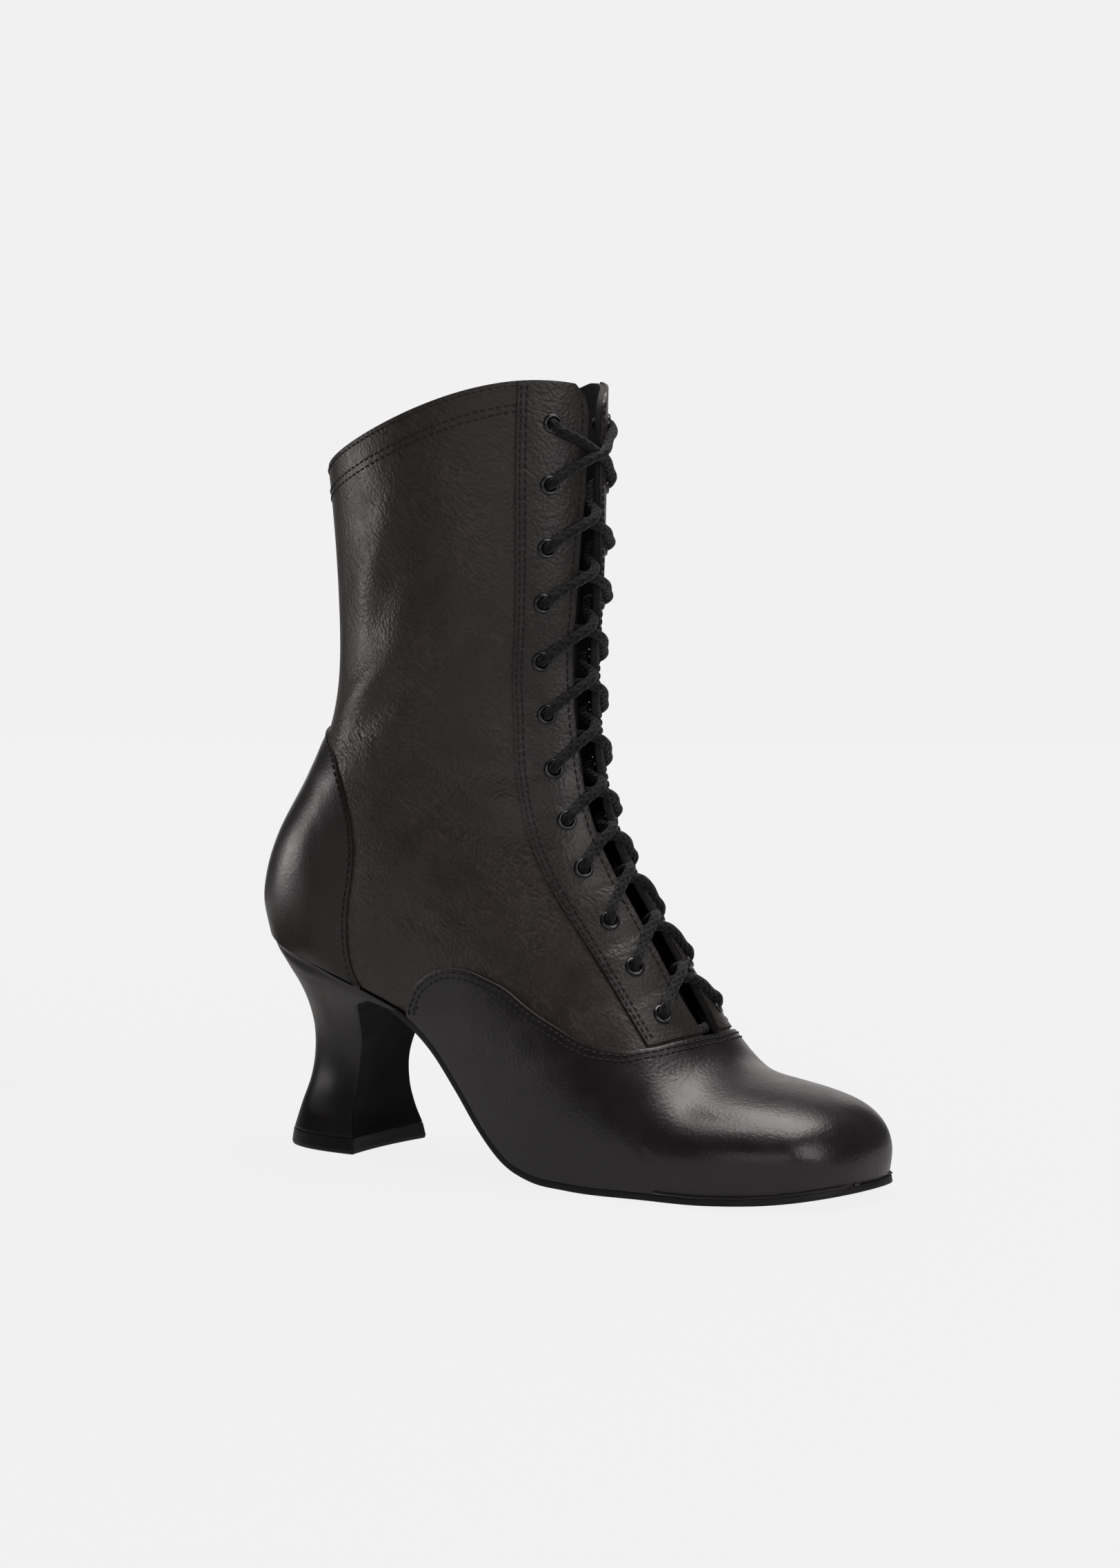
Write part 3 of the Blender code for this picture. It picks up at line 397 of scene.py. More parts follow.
def lasted_face(along, around):
    """Points on the upper's face before smoothing. around runs from the sole or back seam on the
    lateral side, 0, over the ridge or front, 1, to the medial side, 2."""
    medial = around > 1
    share = np.where(medial, 2 - around, around)
    past_seat = along - SEAT_END
    near = np.clip(np.abs(past_seat) / SEAT_TURN, 0, 1)
    foot = SEAT_END + past_seat * near**2 * (6 - 8 * near + 3 * near**2)
    under_x = section_value("under_x", foot)
    on_sole = foot < SEAT_END
    under_z = np.where(on_sole, sole_line(under_x), section_value("under_z", foot))
    belly_at = section_value("belly_at", along)
    belly = np.where(medial, section_value("medial", along), section_value("lateral", along))
    feather = np.where(on_sole, np.minimum(side_width(under_x, medial), belly), 0.0)
    shut = np.clip(section_value("shut", along), 0, 1)
    low = np.clip(share / BELLY_SHARE, 0, 1) * math.pi / 2
    high = np.clip((share - BELLY_SHARE) / (1 - BELLY_SHARE), 0, 1) * math.pi / 2
    below = share < BELLY_SHARE
    rise = np.where(below, belly_at * (1 - np.cos(low)), belly_at + (1 - belly_at) * np.sin(high))
    low_width = feather + (belly - feather) * np.sin(low) ** (2 / (1 + shut))
    high_width = belly * np.clip(np.cos(high), 0, 1) ** (2 / section_value("front_round", along))
    width = np.where(below, low_width, high_width)
    swing = section_value("ridge_y", along) * eased((rise - belly_at) / (1 - belly_at))
    run_x = section_value("over_x", along) - under_x
    run_z = section_value("over_z", along) - under_z
    arch = np.clip(np.sin(math.pi * np.clip(rise, 0, 1) ** BOW_PEAK), 0, 1) ** BOW_FULLNESS
    lift = np.maximum(section_value("bow", along), 0) * arch / (np.hypot(run_x, run_z) + 1e-9)
    x = under_x + run_x * rise - lift * run_z
    y = np.where(medial, width, -width) + swing
    z = under_z + run_z * rise + lift * run_x
    return np.stack([x, y, z], -1)


def heel_reach(turn, height):
    """How far the round heel reaches from its middle, in the direction turn from straight behind."""
    back = np.cos(turn) / (HEEL_MIDDLE - through(HEEL_HEIGHTS, HEEL_ENDS, height))
    side = np.sin(turn) / through(HEEL_HEIGHTS, HEEL_WIDTHS, height)
    reach = 1 / np.hypot(back, side)
    for _ in range(5):
        over = (reach * back) ** 3 + (reach * side) ** 2 - 1
        reach = reach - over / (3 * reach**2 * back**3 + 2 * reach * side**2)
    return reach


def rounded_heel(points):
    """Brings points near the back of the heel onto its round form; those of the seat's edge stay."""
    points = points.copy()
    seat_x = HEEL_BACK + (HEEL_MIDDLE - HEEL_BACK) * np.linspace(0, 1, 300) ** 2
    for medial, widths in ((False, LATERAL_WIDTHS), (True, MEDIAL_WIDTHS)):
        low = (points[..., 0] < HEEL_MIDDLE) & (points[..., 2] < ROUND_TOP)
        near = low & ((points[..., 1] > 0) == medial)
        x, y, z = points[near].T
        seat_y = feather_width(seat_x, widths)
        seat_turn = np.arctan2(seat_y, HEEL_MIDDLE - seat_x)
        turn = np.arctan2(np.abs(y), HEEL_MIDDLE - x)
        edge = np.interp(turn, seat_turn, np.hypot(seat_y, HEEL_MIDDLE - seat_x))
        seat = np.interp(turn, seat_turn, sole_line(seat_x))
        fit = (edge - heel_reach(turn, seat)) * np.exp(-np.maximum(z - seat, 0) / SEAT_FIT)
        share = eased((HEEL_MIDDLE - x) / ROUND_AHEAD) * eased((ROUND_TOP - z) / ROUND_FADE)
        grow = 1 + share * ((heel_reach(turn, z) + fit) / np.hypot(HEEL_MIDDLE - x, y) - 1)
        points[near] = np.stack([HEEL_MIDDLE - (HEEL_MIDDLE - x) * grow, y * grow, z], -1)
    return points


def upper_face(along, around):
    """Points on the upper's face, with the turn at its widest place eased and the heel rounded."""
    along, around = np.broadcast_arrays(np.asarray(along, float), np.asarray(around, float))
    points = 0.5 * lasted_face(along, around)
    reach = BELLY_EASE * np.clip(np.minimum(around % 2, 2 - around % 2) / SOLE_EASE, 0, 1)
    for beside in (around - reach, around + reach):
        points = points + 0.25 * lasted_face(along, np.clip(beside, 0, 2))
    return rounded_heel(points)


def upper_outward(along, around):
    """Outward directions of the upper's face: straight ahead at the toe's point, level at the sole."""
    along, around = np.broadcast_arrays(np.asarray(along, float), np.asarray(around, float))
    small = 0.02
    point, level_share, level_fade = 0.15, 0.2, 3  # sections, share round, sections before the seat's end
    off_point = np.clip(along, point, COLLAR)
    before, after = (
        np.where(along >= SEAT_END, beside % 2, np.clip(beside, 0, 2))
        for beside in (around - small, around + small)
    )
    across = upper_face(off_point, after) - upper_face(off_point, before)
    up = upper_face(np.clip(off_point + small, 0, COLLAR), around)
    up = up - upper_face(np.clip(off_point - small, 0, COLLAR), around)
    outward = np.cross(across, up)
    level = np.clip(1 - np.minimum(around, 2 - around) / level_share, 0, 1)
    level = level * np.clip((SEAT_END - along) / level_fade, 0, 1)
    outward[..., 2] -= np.minimum(outward[..., 2], 0) * level
    outward[along < point / 3] = (1.0, 0.0, 0.0)
    return unit(outward)


def fold_lines():
    """The lines of the soft folds on both sides of the boot, weaker on the medial side."""
    lines = []
    for half_width, top, places in FOLDS:
        step = np.linspace(0, len(places) - 1, 12)
        sections, shares = (through(range(len(places)), values, step) for values in np.array(places).T)
        for round_shares, weight in ((shares, 1.0), (2 - shares, MEDIAL_FOLDS)):
            lines.append((half_width, weight * top, upper_face(sections, round_shares)))
    return lines


FOLD_LINES = fold_lines()


def fold_height(points):
    """Height of the worn leather's soft folds at these points of the face."""
    height = np.zeros(len(points))
    for half_width, top, line in FOLD_LINES:
        reach = FOLD_REACH * half_width
        close = ((points > line.min(0) - reach) & (points < line.max(0) + reach)).all(1)
        near = points[close]
        nearest = np.full(len(near), 1e9)
        run = np.zeros(len(near))
        for index in range(len(line) - 1):
            ahead = line[index + 1] - line[index]
            share = np.clip((near - line[index]) @ ahead / (ahead @ ahead), 0, 1)
            distance = np.linalg.norm(near - line[index] - share[:, None] * ahead, axis=1)
            closer = distance < nearest
            nearest = np.where(closer, distance, nearest)
            run = np.where(closer, (index + share) / (len(line) - 1), run)
        fade = np.sin(math.pi * np.clip(run, 0.04, 0.96)) ** FOLD_FADE
        height[close] += top * fade * np.exp(-((nearest / half_width) ** 2))
    return height


def skin(along, around, height=0.0):
    """Points at a height over the folded leather's face."""
    face = upper_face(along, around)
    outward = upper_outward(along, around)
    folded = fold_height(face.reshape(-1, 3)).reshape(face.shape[:-1])
    return face + outward * (folded + height)[..., None]


FRONT_SECTIONS = np.linspace(6, COLLAR, 161)
FRONT_SHARES = np.linspace(1.0, 0.3, 90)


def front_lengths(shares):
    """Distances from the middle of the front, round each section."""
    points = upper_face(FRONT_SECTIONS[:, None], shares[None, :])
    steps = np.linalg.norm(np.diff(points, axis=1), axis=2)
    return np.hstack([np.zeros((len(FRONT_SECTIONS), 1)), np.cumsum(steps, axis=1)])


LENGTHS_ROUND = {"lateral": front_lengths(FRONT_SHARES), "medial": front_lengths(2 - FRONT_SHARES)}


def from_middle(along, distance, side):
    """The place round the section that lies this far from the middle of the front."""
    along, distance = np.broadcast_arrays(np.asarray(along, float), np.asarray(distance, float))
    place = (along.ravel() - FRONT_SECTIONS[0]) / (FRONT_SECTIONS[1] - FRONT_SECTIONS[0])
    place = np.clip(place, 0, len(FRONT_SECTIONS) - 1.001)
    row = place.astype(int)
    part = (place - row)[:, None]
    reached = LENGTHS_ROUND[side][row] * (1 - part) + LENGTHS_ROUND[side][row + 1] * part
    index = np.clip((reached < distance.ravel()[:, None]).sum(1) - 1, 0, reached.shape[1] - 2)
    line = np.arange(len(index))
    near, far = reached[line, index], reached[line, index + 1]
    share = np.clip((distance.ravel() - near) / (far - near), 0, 1)
    found = FRONT_SHARES[index] + share * (FRONT_SHARES[index + 1] - FRONT_SHARES[index])
    found = found if side == "lateral" else 2 - found
    return found.reshape(along.shape)


def off_middle(section, reach):
    """The same for distances to either side, minus on the lateral one."""
    return np.where(reach < 0, *(from_middle(section, np.abs(reach), side) for side in SIDES))


def half_gap(along):
    return np.interp(along, GAP_SECTIONS, HALF_GAPS)


def quarter_place(side):
    """Places the points of one half, closer together towards its facing edge."""
    medial = side == "medial"

    def place(across, along):
        gap = half_gap(along * COLLAR)
        off_edge = (across if medial else 1 - across) ** EDGE_CLOSER
        section = along * (COLLAR - medial * MEDIAL_DROP * np.clip(1 - DROP_FADE * off_edge, 0, 1))
        edge = np.where(gap > 0, from_middle(section, gap, side), 1.0)
        return skin(section, edge + (2 - edge) * off_edge if medial else edge * (1 - off_edge))

    return place


def join_pieces(name, pieces):
    choose(*pieces)
    bpy.ops.object.join()
    pieces[0].name = name
    merge_doubles(pieces[0])
    return pieces[0]


def eyelet_places(height):
    """Centres of the eyelets at a height over the face, and their outward directions."""
    section, distance = np.array(EYELET_ROWS).T
    centres = {}
    for side in SIDES:
        around = from_middle(section, distance, side)
        centres[side] = (skin(section, around, height), upper_outward(section, around))
    return centres


def punch_holes(piece, sides):
    """Punches the eyelet holes of these sides through a sheet: takes the faces out, rounds the rim."""
    build = bmesh.new()
    build.from_mesh(piece.data)
    middles = np.array([face.calc_center_median() for face in build.faces])
    faces = list(build.faces)
    for side in sides:
        for centre, outward in zip(*eyelet_places(0.0)[side]):
            off = middles - centre * MM
            depth = off @ outward
            flat = np.linalg.norm(off - depth[:, None] * outward, axis=1)
            cut = (flat < EYELET_HOLE * MM) & (abs(depth) < HOLE_DEPTH * MM)
            inside = [faces[index] for index in np.nonzero(cut)[0]]
            rim = {corner for face in inside for corner in face.verts}
            bmesh.ops.delete(build, geom=inside, context="FACES")
            for corner in rim:
                if corner.is_valid:
                    off_rim = np.array(corner.co) - centre * MM
                    rise = off_rim @ outward * outward
                    spoke = (off_rim - rise) / np.linalg.norm(off_rim - rise)
                    corner.co = centre * MM + rise + spoke * EYELET_HOLE * MM
    build.to_mesh(piece.data)
    build.free()


halves = [grid_piece("quarter_" + side, 64, 230, quarter_place(side)) for side in SIDES]
upper = join_pieces("upper_quarters", halves)
punch_holes(upper, SIDES)


def shade(code, times):
    """A colour made darker or lighter."""
    return (*(times * part for part in colour(code)[:3]), 1.0)


def noise(tree, place, size, detail=2.0, distortion=0.0, **settings):
    """Noise with features of this size in millimetres."""
    links = {"Vector": place, "Scale": 1 / (size * MM), "Detail": detail, "Distortion": distortion}
    return add_node(tree, "ShaderNodeTexNoise", links, **settings).outputs["Fac"]


def map_range(tree, value, low, high, to_low=0.0, to_high=1.0):
    ends = {"From Min": low, "From Max": high, "To Min": to_low, "To Max": to_high}
    return add_node(tree, "ShaderNodeMapRange", {"Value": value, **ends}).outputs["Result"]


def grained_leather(name, code, roughness, grain, crease, mottle, **values):
    """Black calf: a waxed, pigmented grain side. Its pebble is drawn 1 mm wide so that it shows. Where it
    is creased, fine lines run aslant down the leg, and their crests are painted lighter: a painted highlight."""
    made, tree, shader = new_material(name, Roughness=roughness, IOR=1.5, **values)
    place = object_place(tree)
    links = {"Vector": place, "Scale": 1 / (1.0 * MM)}
    pebble = add_node(tree, "ShaderNodeTexVoronoi", links, feature="SMOOTH_F1").outputs["Distance"]
    soft = noise(tree, place, 9, 5.0)
    normal = bump(tree, noise(tree, place, 14, 1.0), mottle, 1.2)
    normal = bump(tree, pebble, grain, 0.18, normal)
    speckled = calculate(tree, "MULTIPLY_ADD", pebble, -0.8 * grain, soft)
    tone = mixed(tree, speckled, shade(code, 0.75), shade(code, 1.4))
    if crease:
        slant = {"Vector": place, "Rotation": (0.0, math.radians(38), 0.0), "Scale": (3.6, 3.6, 1.0)}
        lean = add_node(tree, "ShaderNodeMapping", slant, vector_type="TEXTURE").outputs["Vector"]
        lines = noise(tree, lean, 1.4, 2.0, 0.4, noise_type="RIDGED_MULTIFRACTAL")
        amount = map_range(tree, noise(tree, place, 26, 1.0), 0.36, 0.62)
        normal = bump(tree, calculate(tree, "MULTIPLY", lines, amount), crease, 0.28, normal, invert=True)
        # The creases' crests are painted lighter, as a painted highlight for the light they catch.
        crest_highlight = map_range(tree, lines, 0.0, 0.02, crease, 0.0)
        tone = mixed(tree, calculate(tree, "MULTIPLY", crest_highlight, amount), tone, shade(code, 1.9))
    gloss = map_range(tree, soft, 0.3, 0.7, roughness - 0.05, roughness + 0.06)
    drive(tree, shader, Base_Color=tone, Roughness=gloss, Normal=normal)
    return made


def cut_edge(name, code):
    """Cut edge of dyed leather: the paler, matt fibres between grain and flesh side."""
    made, tree, shader = new_material(name, Roughness=0.7)
    fibre = noise(tree, object_place(tree), 0.7)
    drive(tree, shader, Base_Color=mixed(tree, fibre, shade(code, 0.6), shade(code, 1.4)))
    return made


def leather_sheet(piece, thickness, face, back, edge, edge_round=0.3):
    """Gives a leather sheet its thickness, with its own finish on the face, the back and the cut edge."""
    for finish in (face, back, edge):
        piece.data.materials.append(finish)
    thicken(piece, thickness, edge_round, material_offset=1, material_offset_rim=2)


quarter_leather = grained_leather("calf_quarter", "#332c29", 0.40, 0.8, 0.7, 0.25)
quarter_edge = cut_edge("inked_edge", "#191716")
lining_leather = grained_leather("lining_leather", "#0f0e0e", 0.75, 0.2, 0.1, 0.1, Specular_IOR_Level=0.2)
leather_sheet(upper, WALL, quarter_leather, lining_leather, quarter_edge, 0.45)
finish_piece(upper, ["upper"])


# Waxed polyester thread: black with a slight gloss along each stitch; its twist is too fine to show.
STITCH = 2.0
STITCH_GAP = 0.5
THREAD = 0.33  # half its thickness
STITCH_HEIGHT = 0.1  # its middle lies this far over the leather
thread_black, tree, shader = new_material("waxed_thread", Roughness=0.6)
twist = noise(tree, object_place(tree), 0.8)
drive(tree, shader, Base_Color=mixed(tree, twist, colour("#050505"), colour("#161514")))


def path_lengths(points):
    """Lengths reached at each point of a path."""
    return np.concatenate([[0.0], np.cumsum(np.linalg.norm(np.diff(points, axis=0), axis=1))])


def add_object(name, data):
    made = bpy.data.objects.new(name, data)
    bpy.context.scene.collection.objects.link(made)
    return made


def along_path(points, outwards, spacing):
    """Places at an even spacing along a path: points, outward directions and headings."""
    reached = path_lengths(points)
    count = max(int(reached[-1] / spacing), 1)
    middles = (np.arange(count) + 0.5) * reached[-1] / count

    def read(values, at):
        return np.stack([np.interp(at, reached, values[:, axis]) for axis in range(3)], -1)

    heading = unit(read(points, middles + 0.5) - read(points, middles - 0.5))
    outward = read(outwards, middles)
    outward -= (outward * heading).sum(1, keepdims=True) * heading
    return read(points, middles), unit(outward), heading


def sew(name, rows):
    """Rows of machine stitches, one oval of thread each. A row is sections, shares round and a height."""
    bpy.ops.mesh.primitive_uv_sphere_add(segments=6, ring_count=4, radius=1)
    pattern = bpy.context.object
    oval = np.array([corner.co for corner in pattern.data.vertices])
    faces = [list(face.vertices) for face in pattern.data.polygons]
    bpy.data.objects.remove(pattern)
    points, loops = [], []
    for along, around, height in rows:
        path = skin(along, around, height)
        places = along_path(path, upper_outward(along, around), STITCH + STITCH_GAP)
        for centre, outward, heading in zip(*places):
            loops += [[corner + len(oval) * len(points) for corner in face] for face in faces]
            side = np.cross(outward, heading)
            points.append(centre + oval @ np.array([side * THREAD, outward * THREAD, heading * STITCH / 2]))
    mesh = bpy.data.meshes.new(name)
    mesh.from_pydata((np.concatenate(points) * MM).tolist(), [], loops)
    mesh.shade_smooth()
    mesh.materials.append(thread_black)
    finish_piece(add_object(name, mesh), [])


# Collar: two rows hold the inside facing, one more runs just under the turned edge.
COLLAR_ROWS = (25.50, 25.61, 25.93)
EYESTAY_SEAM = 28.8
collar_rows = []
for side in SIDES:
    seam = float(from_middle(COLLAR, EYESTAY_SEAM, side))
    around = np.linspace(*((0.0, seam) if side == "lateral" else (seam, 2.0)), 90)
    collar_rows += [(np.full(90, section), around, STITCH_HEIGHT) for section in COLLAR_ROWS]
sew("collar_stitches", collar_rows)


# Tongue: a single thickness of soft black leather behind the lacing, sewn under the vamp at the throat
# and left loose above.
TONGUE_THICKNESS = 1.4
TONGUE_SECTIONS = (6.7, 7.2, 7.9, 9, 15, 22, 24.4, 24.9)
TONGUE_DEPTHS = (3.5, 3.6, 6.0, 6.4, 6.4, 6.4, 6.4, 6.4)
TONGUE_HALF_WIDTHS = (14, 16, 17, 18, 20, 21, 20, 14)


def tongue_place(across, along):
    section = TONGUE_SECTIONS[0] + (TONGUE_SECTIONS[-1] - TONGUE_SECTIONS[0]) * along
    depth = through(TONGUE_SECTIONS, TONGUE_DEPTHS, section)
    around = off_middle(section, through(TONGUE_SECTIONS, TONGUE_HALF_WIDTHS, section) * (2 * across - 1))
    return upper_face(section, around) - upper_outward(section, around) * depth[:, None]


tongue = grid_piece("tongue_leather", 30, 150, tongue_place)
tongue_leather = grained_leather("tongue_calf", "#121111", 0.6, 0.3, 0.3, 0.3)
leather_sheet(tongue, TONGUE_THICKNESS, tongue_leather, lining_leather, quarter_edge)
finish_piece(tongue, ["tongue"])


# Eyestays: a facing strip on each side of the lacing gap, sewn to the quarter with two rows behind and
# one along its front edge. They carry the eyelets.
EYESTAY_THICKNESS = 0.85
EYESTAY_CLEAR = 0.07  # sections between the vamp's edge and the strip's end
EYESTAY_ROWS = (1.2, 3.0)  # stitches, from its rear edge
FRONT_ROW = 2.2  # stitches, from its front edge
FRONT_ROW_START = 8.3
THROAT = 8.2  # the section there
THROAT_HALF_GAP = 6
LIFT = 0.05  # pieces that lie on each other are this far apart
VAMP_SHARES = (0, 0.15, 0.24, 0.32, 0.40, 0.47, 0.51, 0.55, 0.60, 0.68, 0.80, 1)
VAMP_SECTIONS = (12.25, 12.38, 12.42, 12.25, 11.72, 11.02, 10.25, 9.22, 8.60, 8.13, 7.77, 7.54)


def vamp_edge(around):
    """Section that the vamp's rear edge reaches at this place round."""
    return through(VAMP_SHARES, VAMP_SECTIONS, np.minimum(around, 2 - around))


def eyestay_around(section, across, side):
    return from_middle(section, EYESTAY_SEAM + (half_gap(section) - EYESTAY_SEAM) * across, side)


def eyestay_start(across, side):
    """Section at which the strip comes out from under the vamp."""
    section = np.full(np.shape(across), THROAT)
    for _ in range(14):
        section = 0.5 * section + 0.5 * (vamp_edge(eyestay_around(section, across, side)) + EYESTAY_CLEAR)
    return section


def eyestay_place(side):
    def place(across, along):
        across = across if side == "lateral" else 1 - across
        start = eyestay_start(across, side)
        level = start + (COLLAR - start) * along
        section = level - (side == "medial") * MEDIAL_DROP * across * along
        distance = EYESTAY_SEAM + (half_gap(level) - EYESTAY_SEAM) * across
        return skin(section, from_middle(section, distance, side), EYESTAY_THICKNESS + LIFT)

    return place


eyestay_leather = grained_leather("calf_eyestay", "#292524", 0.38, 0.7, 0.7, 0.4)
for side in SIDES:
    eyestay = grid_piece("eyestay_strip_" + side, 34, 330, eyestay_place(side))
    punch_holes(eyestay, (side,))
    leather_sheet(eyestay, EYESTAY_THICKNESS, eyestay_leather, quarter_edge, eyestay_leather)
    finish_piece(eyestay, ["eyestay_" + side])
    strip_lines = []
    for inset in EYESTAY_ROWS:
        start = float(eyestay_start(np.array(inset / (EYESTAY_SEAM - THROAT_HALF_GAP)), side))
        section = np.linspace(start + 0.1, COLLAR - 0.05, 260)
        strip_lines.append((section, from_middle(section, EYESTAY_SEAM - inset, side)))
    section = np.linspace(FRONT_ROW_START, COLLAR - 0.3, 260)
    strip_lines.append((section, from_middle(section, half_gap(section) + FRONT_ROW, side)))
    strip_rows = [(*line, EYESTAY_THICKNESS + LIFT + STITCH_HEIGHT) for line in strip_lines]
    sew("eyestay_stitches_" + side, strip_rows)


# Counter: a polished piece of box calf round the back of the heel, over a stiffener. It is sewn down
# along its front edge and lasted under the seat.
COUNTER_THICKNESS = 1.0
COUNTER_EDGE = 0.4
COUNTER_SKIVE = 6  # it thins to COUNTER_EDGE over this much
COUNTER_ROW = 1.7  # stitches, from its front edge
HALF_GIRTH = 125.0  # of the boot at the heel, to turn shares round into millimetres
COUNTER_START = 13.0
COUNTER_TOP = 22.25
# Side view of its front edge, from the seat up
COUNTER_HEIGHTS = (56, 59.5, 62, 66.8, 74.7, 84.8, 93.5, 102.4, 110, 118.4, 126.8, 135.2, 140.8, 144)
COUNTER_FRONTS = (25.2, 22.6, 21.4, 20.2, 19.9, 21.2, 23.1, 24.2, 23.8, 21.8, 18.8, 13.4, 4.6, -6)


def counter_share(section, inset):
    """How far round the counter goes at this section, ending at an inset behind its front edge."""
    shares = np.linspace(0, 0.5, 251)
    x, _, z = np.moveaxis(upper_face(np.reshape(section, (-1, 1)), shares), -1, 0)
    before = through(COUNTER_HEIGHTS, COUNTER_FRONTS, z) - inset - x
    last = np.clip((before <= 0).argmax(1), 1, len(shares) - 1)
    row = np.arange(len(last))
    part = before[row, last - 1] / (before[row, last - 1] - before[row, last])
    return np.clip(shares[last - 1] + part * (shares[1] - shares[0]), 0.004, 0.5)


def counter_height(behind):
    """Height of the counter's face over the quarter: it is skived thin towards its front edge."""
    return LIFT + COUNTER_EDGE + (COUNTER_THICKNESS - COUNTER_EDGE) * np.clip(behind / COUNTER_SKIVE, 0, 1)


def counter_place(side):
    def place(across, along):
        section = COUNTER_START + (COUNTER_TOP - COUNTER_START) * along
        rows, row = np.unique(section, return_inverse=True)
        edge = counter_share(rows, 0.0)[row]
        around = across * edge if side == "lateral" else 2 - edge + across * edge
        behind = (1 - across if side == "lateral" else across) * edge * HALF_GIRTH
        points = skin(section, around, counter_height(behind))
        rear = through(HEEL_HEIGHTS, HEEL_ENDS, points[:, 2]) - COUNTER_THICKNESS - 2 * LIFT
        points[:, 0] = np.maximum(points[:, 0], rear)  # no spur where the seat turns into the back
        return points

    return place


halves = [grid_piece("counter_" + side, 50, 160, counter_place(side)) for side in SIDES]
counter = join_pieces("counter_heel", halves)
counter_calf = grained_leather(
    "polished_counter_calf", "#15110d", 0.34, 0.25, 0.0, 0.12, Coat_Weight=0.25, Coat_Roughness=0.3
)
leather_sheet(counter, COUNTER_THICKNESS, counter_calf, quarter_edge, counter_calf)
finish_piece(counter, ["counter"])
section = np.linspace(COUNTER_START + 0.2, COUNTER_TOP - 0.1, 220)
share = counter_share(section, COUNTER_ROW)
height = counter_height(COUNTER_ROW) + STITCH_HEIGHT
sew("counter_stitches", [(section, share, height), (section, 2 - share, height)])


# Vamp: one piece of polished box calf over the toe and instep, with a wing along each side. It laps
# over the quarters and eyestays, is sewn down with two rows and lasted under the insole.
VAMP_THICKNESS = 1.3
VAMP_ROWS = (1.3, 3.1)  # stitches, from its rear edge


def vamp_place(across, along):
    around = 2 * across
    return skin(along * vamp_edge(around), around, VAMP_THICKNESS + LIFT)


vamp = grid_piece("vamp_toe", 176, 150, vamp_place)
merge_doubles(vamp)
vamp_calf = grained_leather(
    "polished_vamp_calf", "#181314", 0.32, 0.45, 0.0, 0.15, Coat_Weight=0.25, Coat_Roughness=0.32
)
vamp_cut_edge = cut_edge("vamp_cut_edge", "#5c5856")
leather_sheet(vamp, VAMP_THICKNESS, vamp_calf, quarter_edge, vamp_cut_edge)
finish_piece(vamp, ["vamp"])


def vamp_row(inset):
    """A line on the vamp at this distance inside its rear edge, in millimetres."""
    around = np.linspace(0.03, 1.97, 500)
    edge = vamp_edge(around)
    points = upper_face(edge, around)
    inward = unit(np.cross(np.gradient(points, axis=0), upper_outward(edge, around)))
    small = 0.05
    per_section = (upper_face(edge + small, around) - upper_face(edge - small, around)) / (2 * small)
    per_share = (upper_face(edge, around + small) - upper_face(edge, around - small)) / (2 * small)
    steps = np.stack([per_section, per_share], -1)
    moves = np.array([np.linalg.lstsq(*pair, rcond=None)[0] for pair in zip(steps, inward * inset)])
    if moves[:, 0].mean() > 0:
        moves = -moves
    return edge + moves[:, 0], around + moves[:, 1], VAMP_THICKNESS + LIFT + STITCH_HEIGHT


sew("vamp_stitches", [vamp_row(inset) for inset in VAMP_ROWS])


# Outsole: a thin sole of black-dyed leather from the breast of the heel to the toe, cemented on, with
# its edge trimmed, inked and burnished.
SOLE_THICKNESS = 2.1
SOLE_START = 37.6
SOLE_MARGIN = 1.1
SOLE_TOE = 165  # from here the rows of the grid bow forward to follow the toe
TIP_MARGINS = 2.3  # the tip stands out by this many times the margin
SOLE_BELOW = 0.25  # the sole and the heel lie this far under the feather line


def outsole_place(across, along):
    x = SOLE_START + (SOLE_TOE - SOLE_START) * along
    out = 1 - 2 * across
    places = np.linspace(TOE_TIP, SOLE_TOE, 400)
    medial, lateral = (
        np.interp(np.abs(out) * feather_width(SOLE_TOE, widths), feather_width(places, widths), places)
        for widths in (MEDIAL_WIDTHS, LATERAL_WIDTHS)
    )
    toe = np.where(out > 0, medial, lateral) - SOLE_TOE
    bow = toe * (1 + TIP_MARGINS * SOLE_MARGIN / (TOE_TIP - SOLE_TOE)) * along**4
    slope = sole_line(x + bow + 0.5) - sole_line(x + bow - 0.5)
    y = out * (side_width(x, out > 0) + SOLE_MARGIN)
    return np.stack([x + bow, y, sole_line(x + bow) - SOLE_BELOW * (1 + slope**2)], -1)


outsole = grid_piece("outsole_leather", 64, 120, outsole_place)
thicken(outsole, SOLE_THICKNESS, 0.5)

# Sole leather: dyed black, rolled hard; the tread is scuffed dull in short strokes.
sole_leather, tree, shader = new_material("dyed_sole_leather", Roughness=0.5, Specular_IOR_Level=0.35)
strokes = add_node(tree, "ShaderNodeMapping", {"Vector": object_place(tree), "Scale": (1.0, 4.0, 1.0)})
scuff = noise(tree, strokes.outputs["Vector"], 14, 5.0)
tone = mixed(tree, scuff, colour("#0b0a0a"), colour("#1b1918"))
drive(tree, shader, Base_Color=tone, Roughness=map_range(tree, scuff, 0.0, 1.0, 0.4, 0.65))
outsole.data.materials.append(sole_leather)
finish_piece(outsole, ["outsole"])


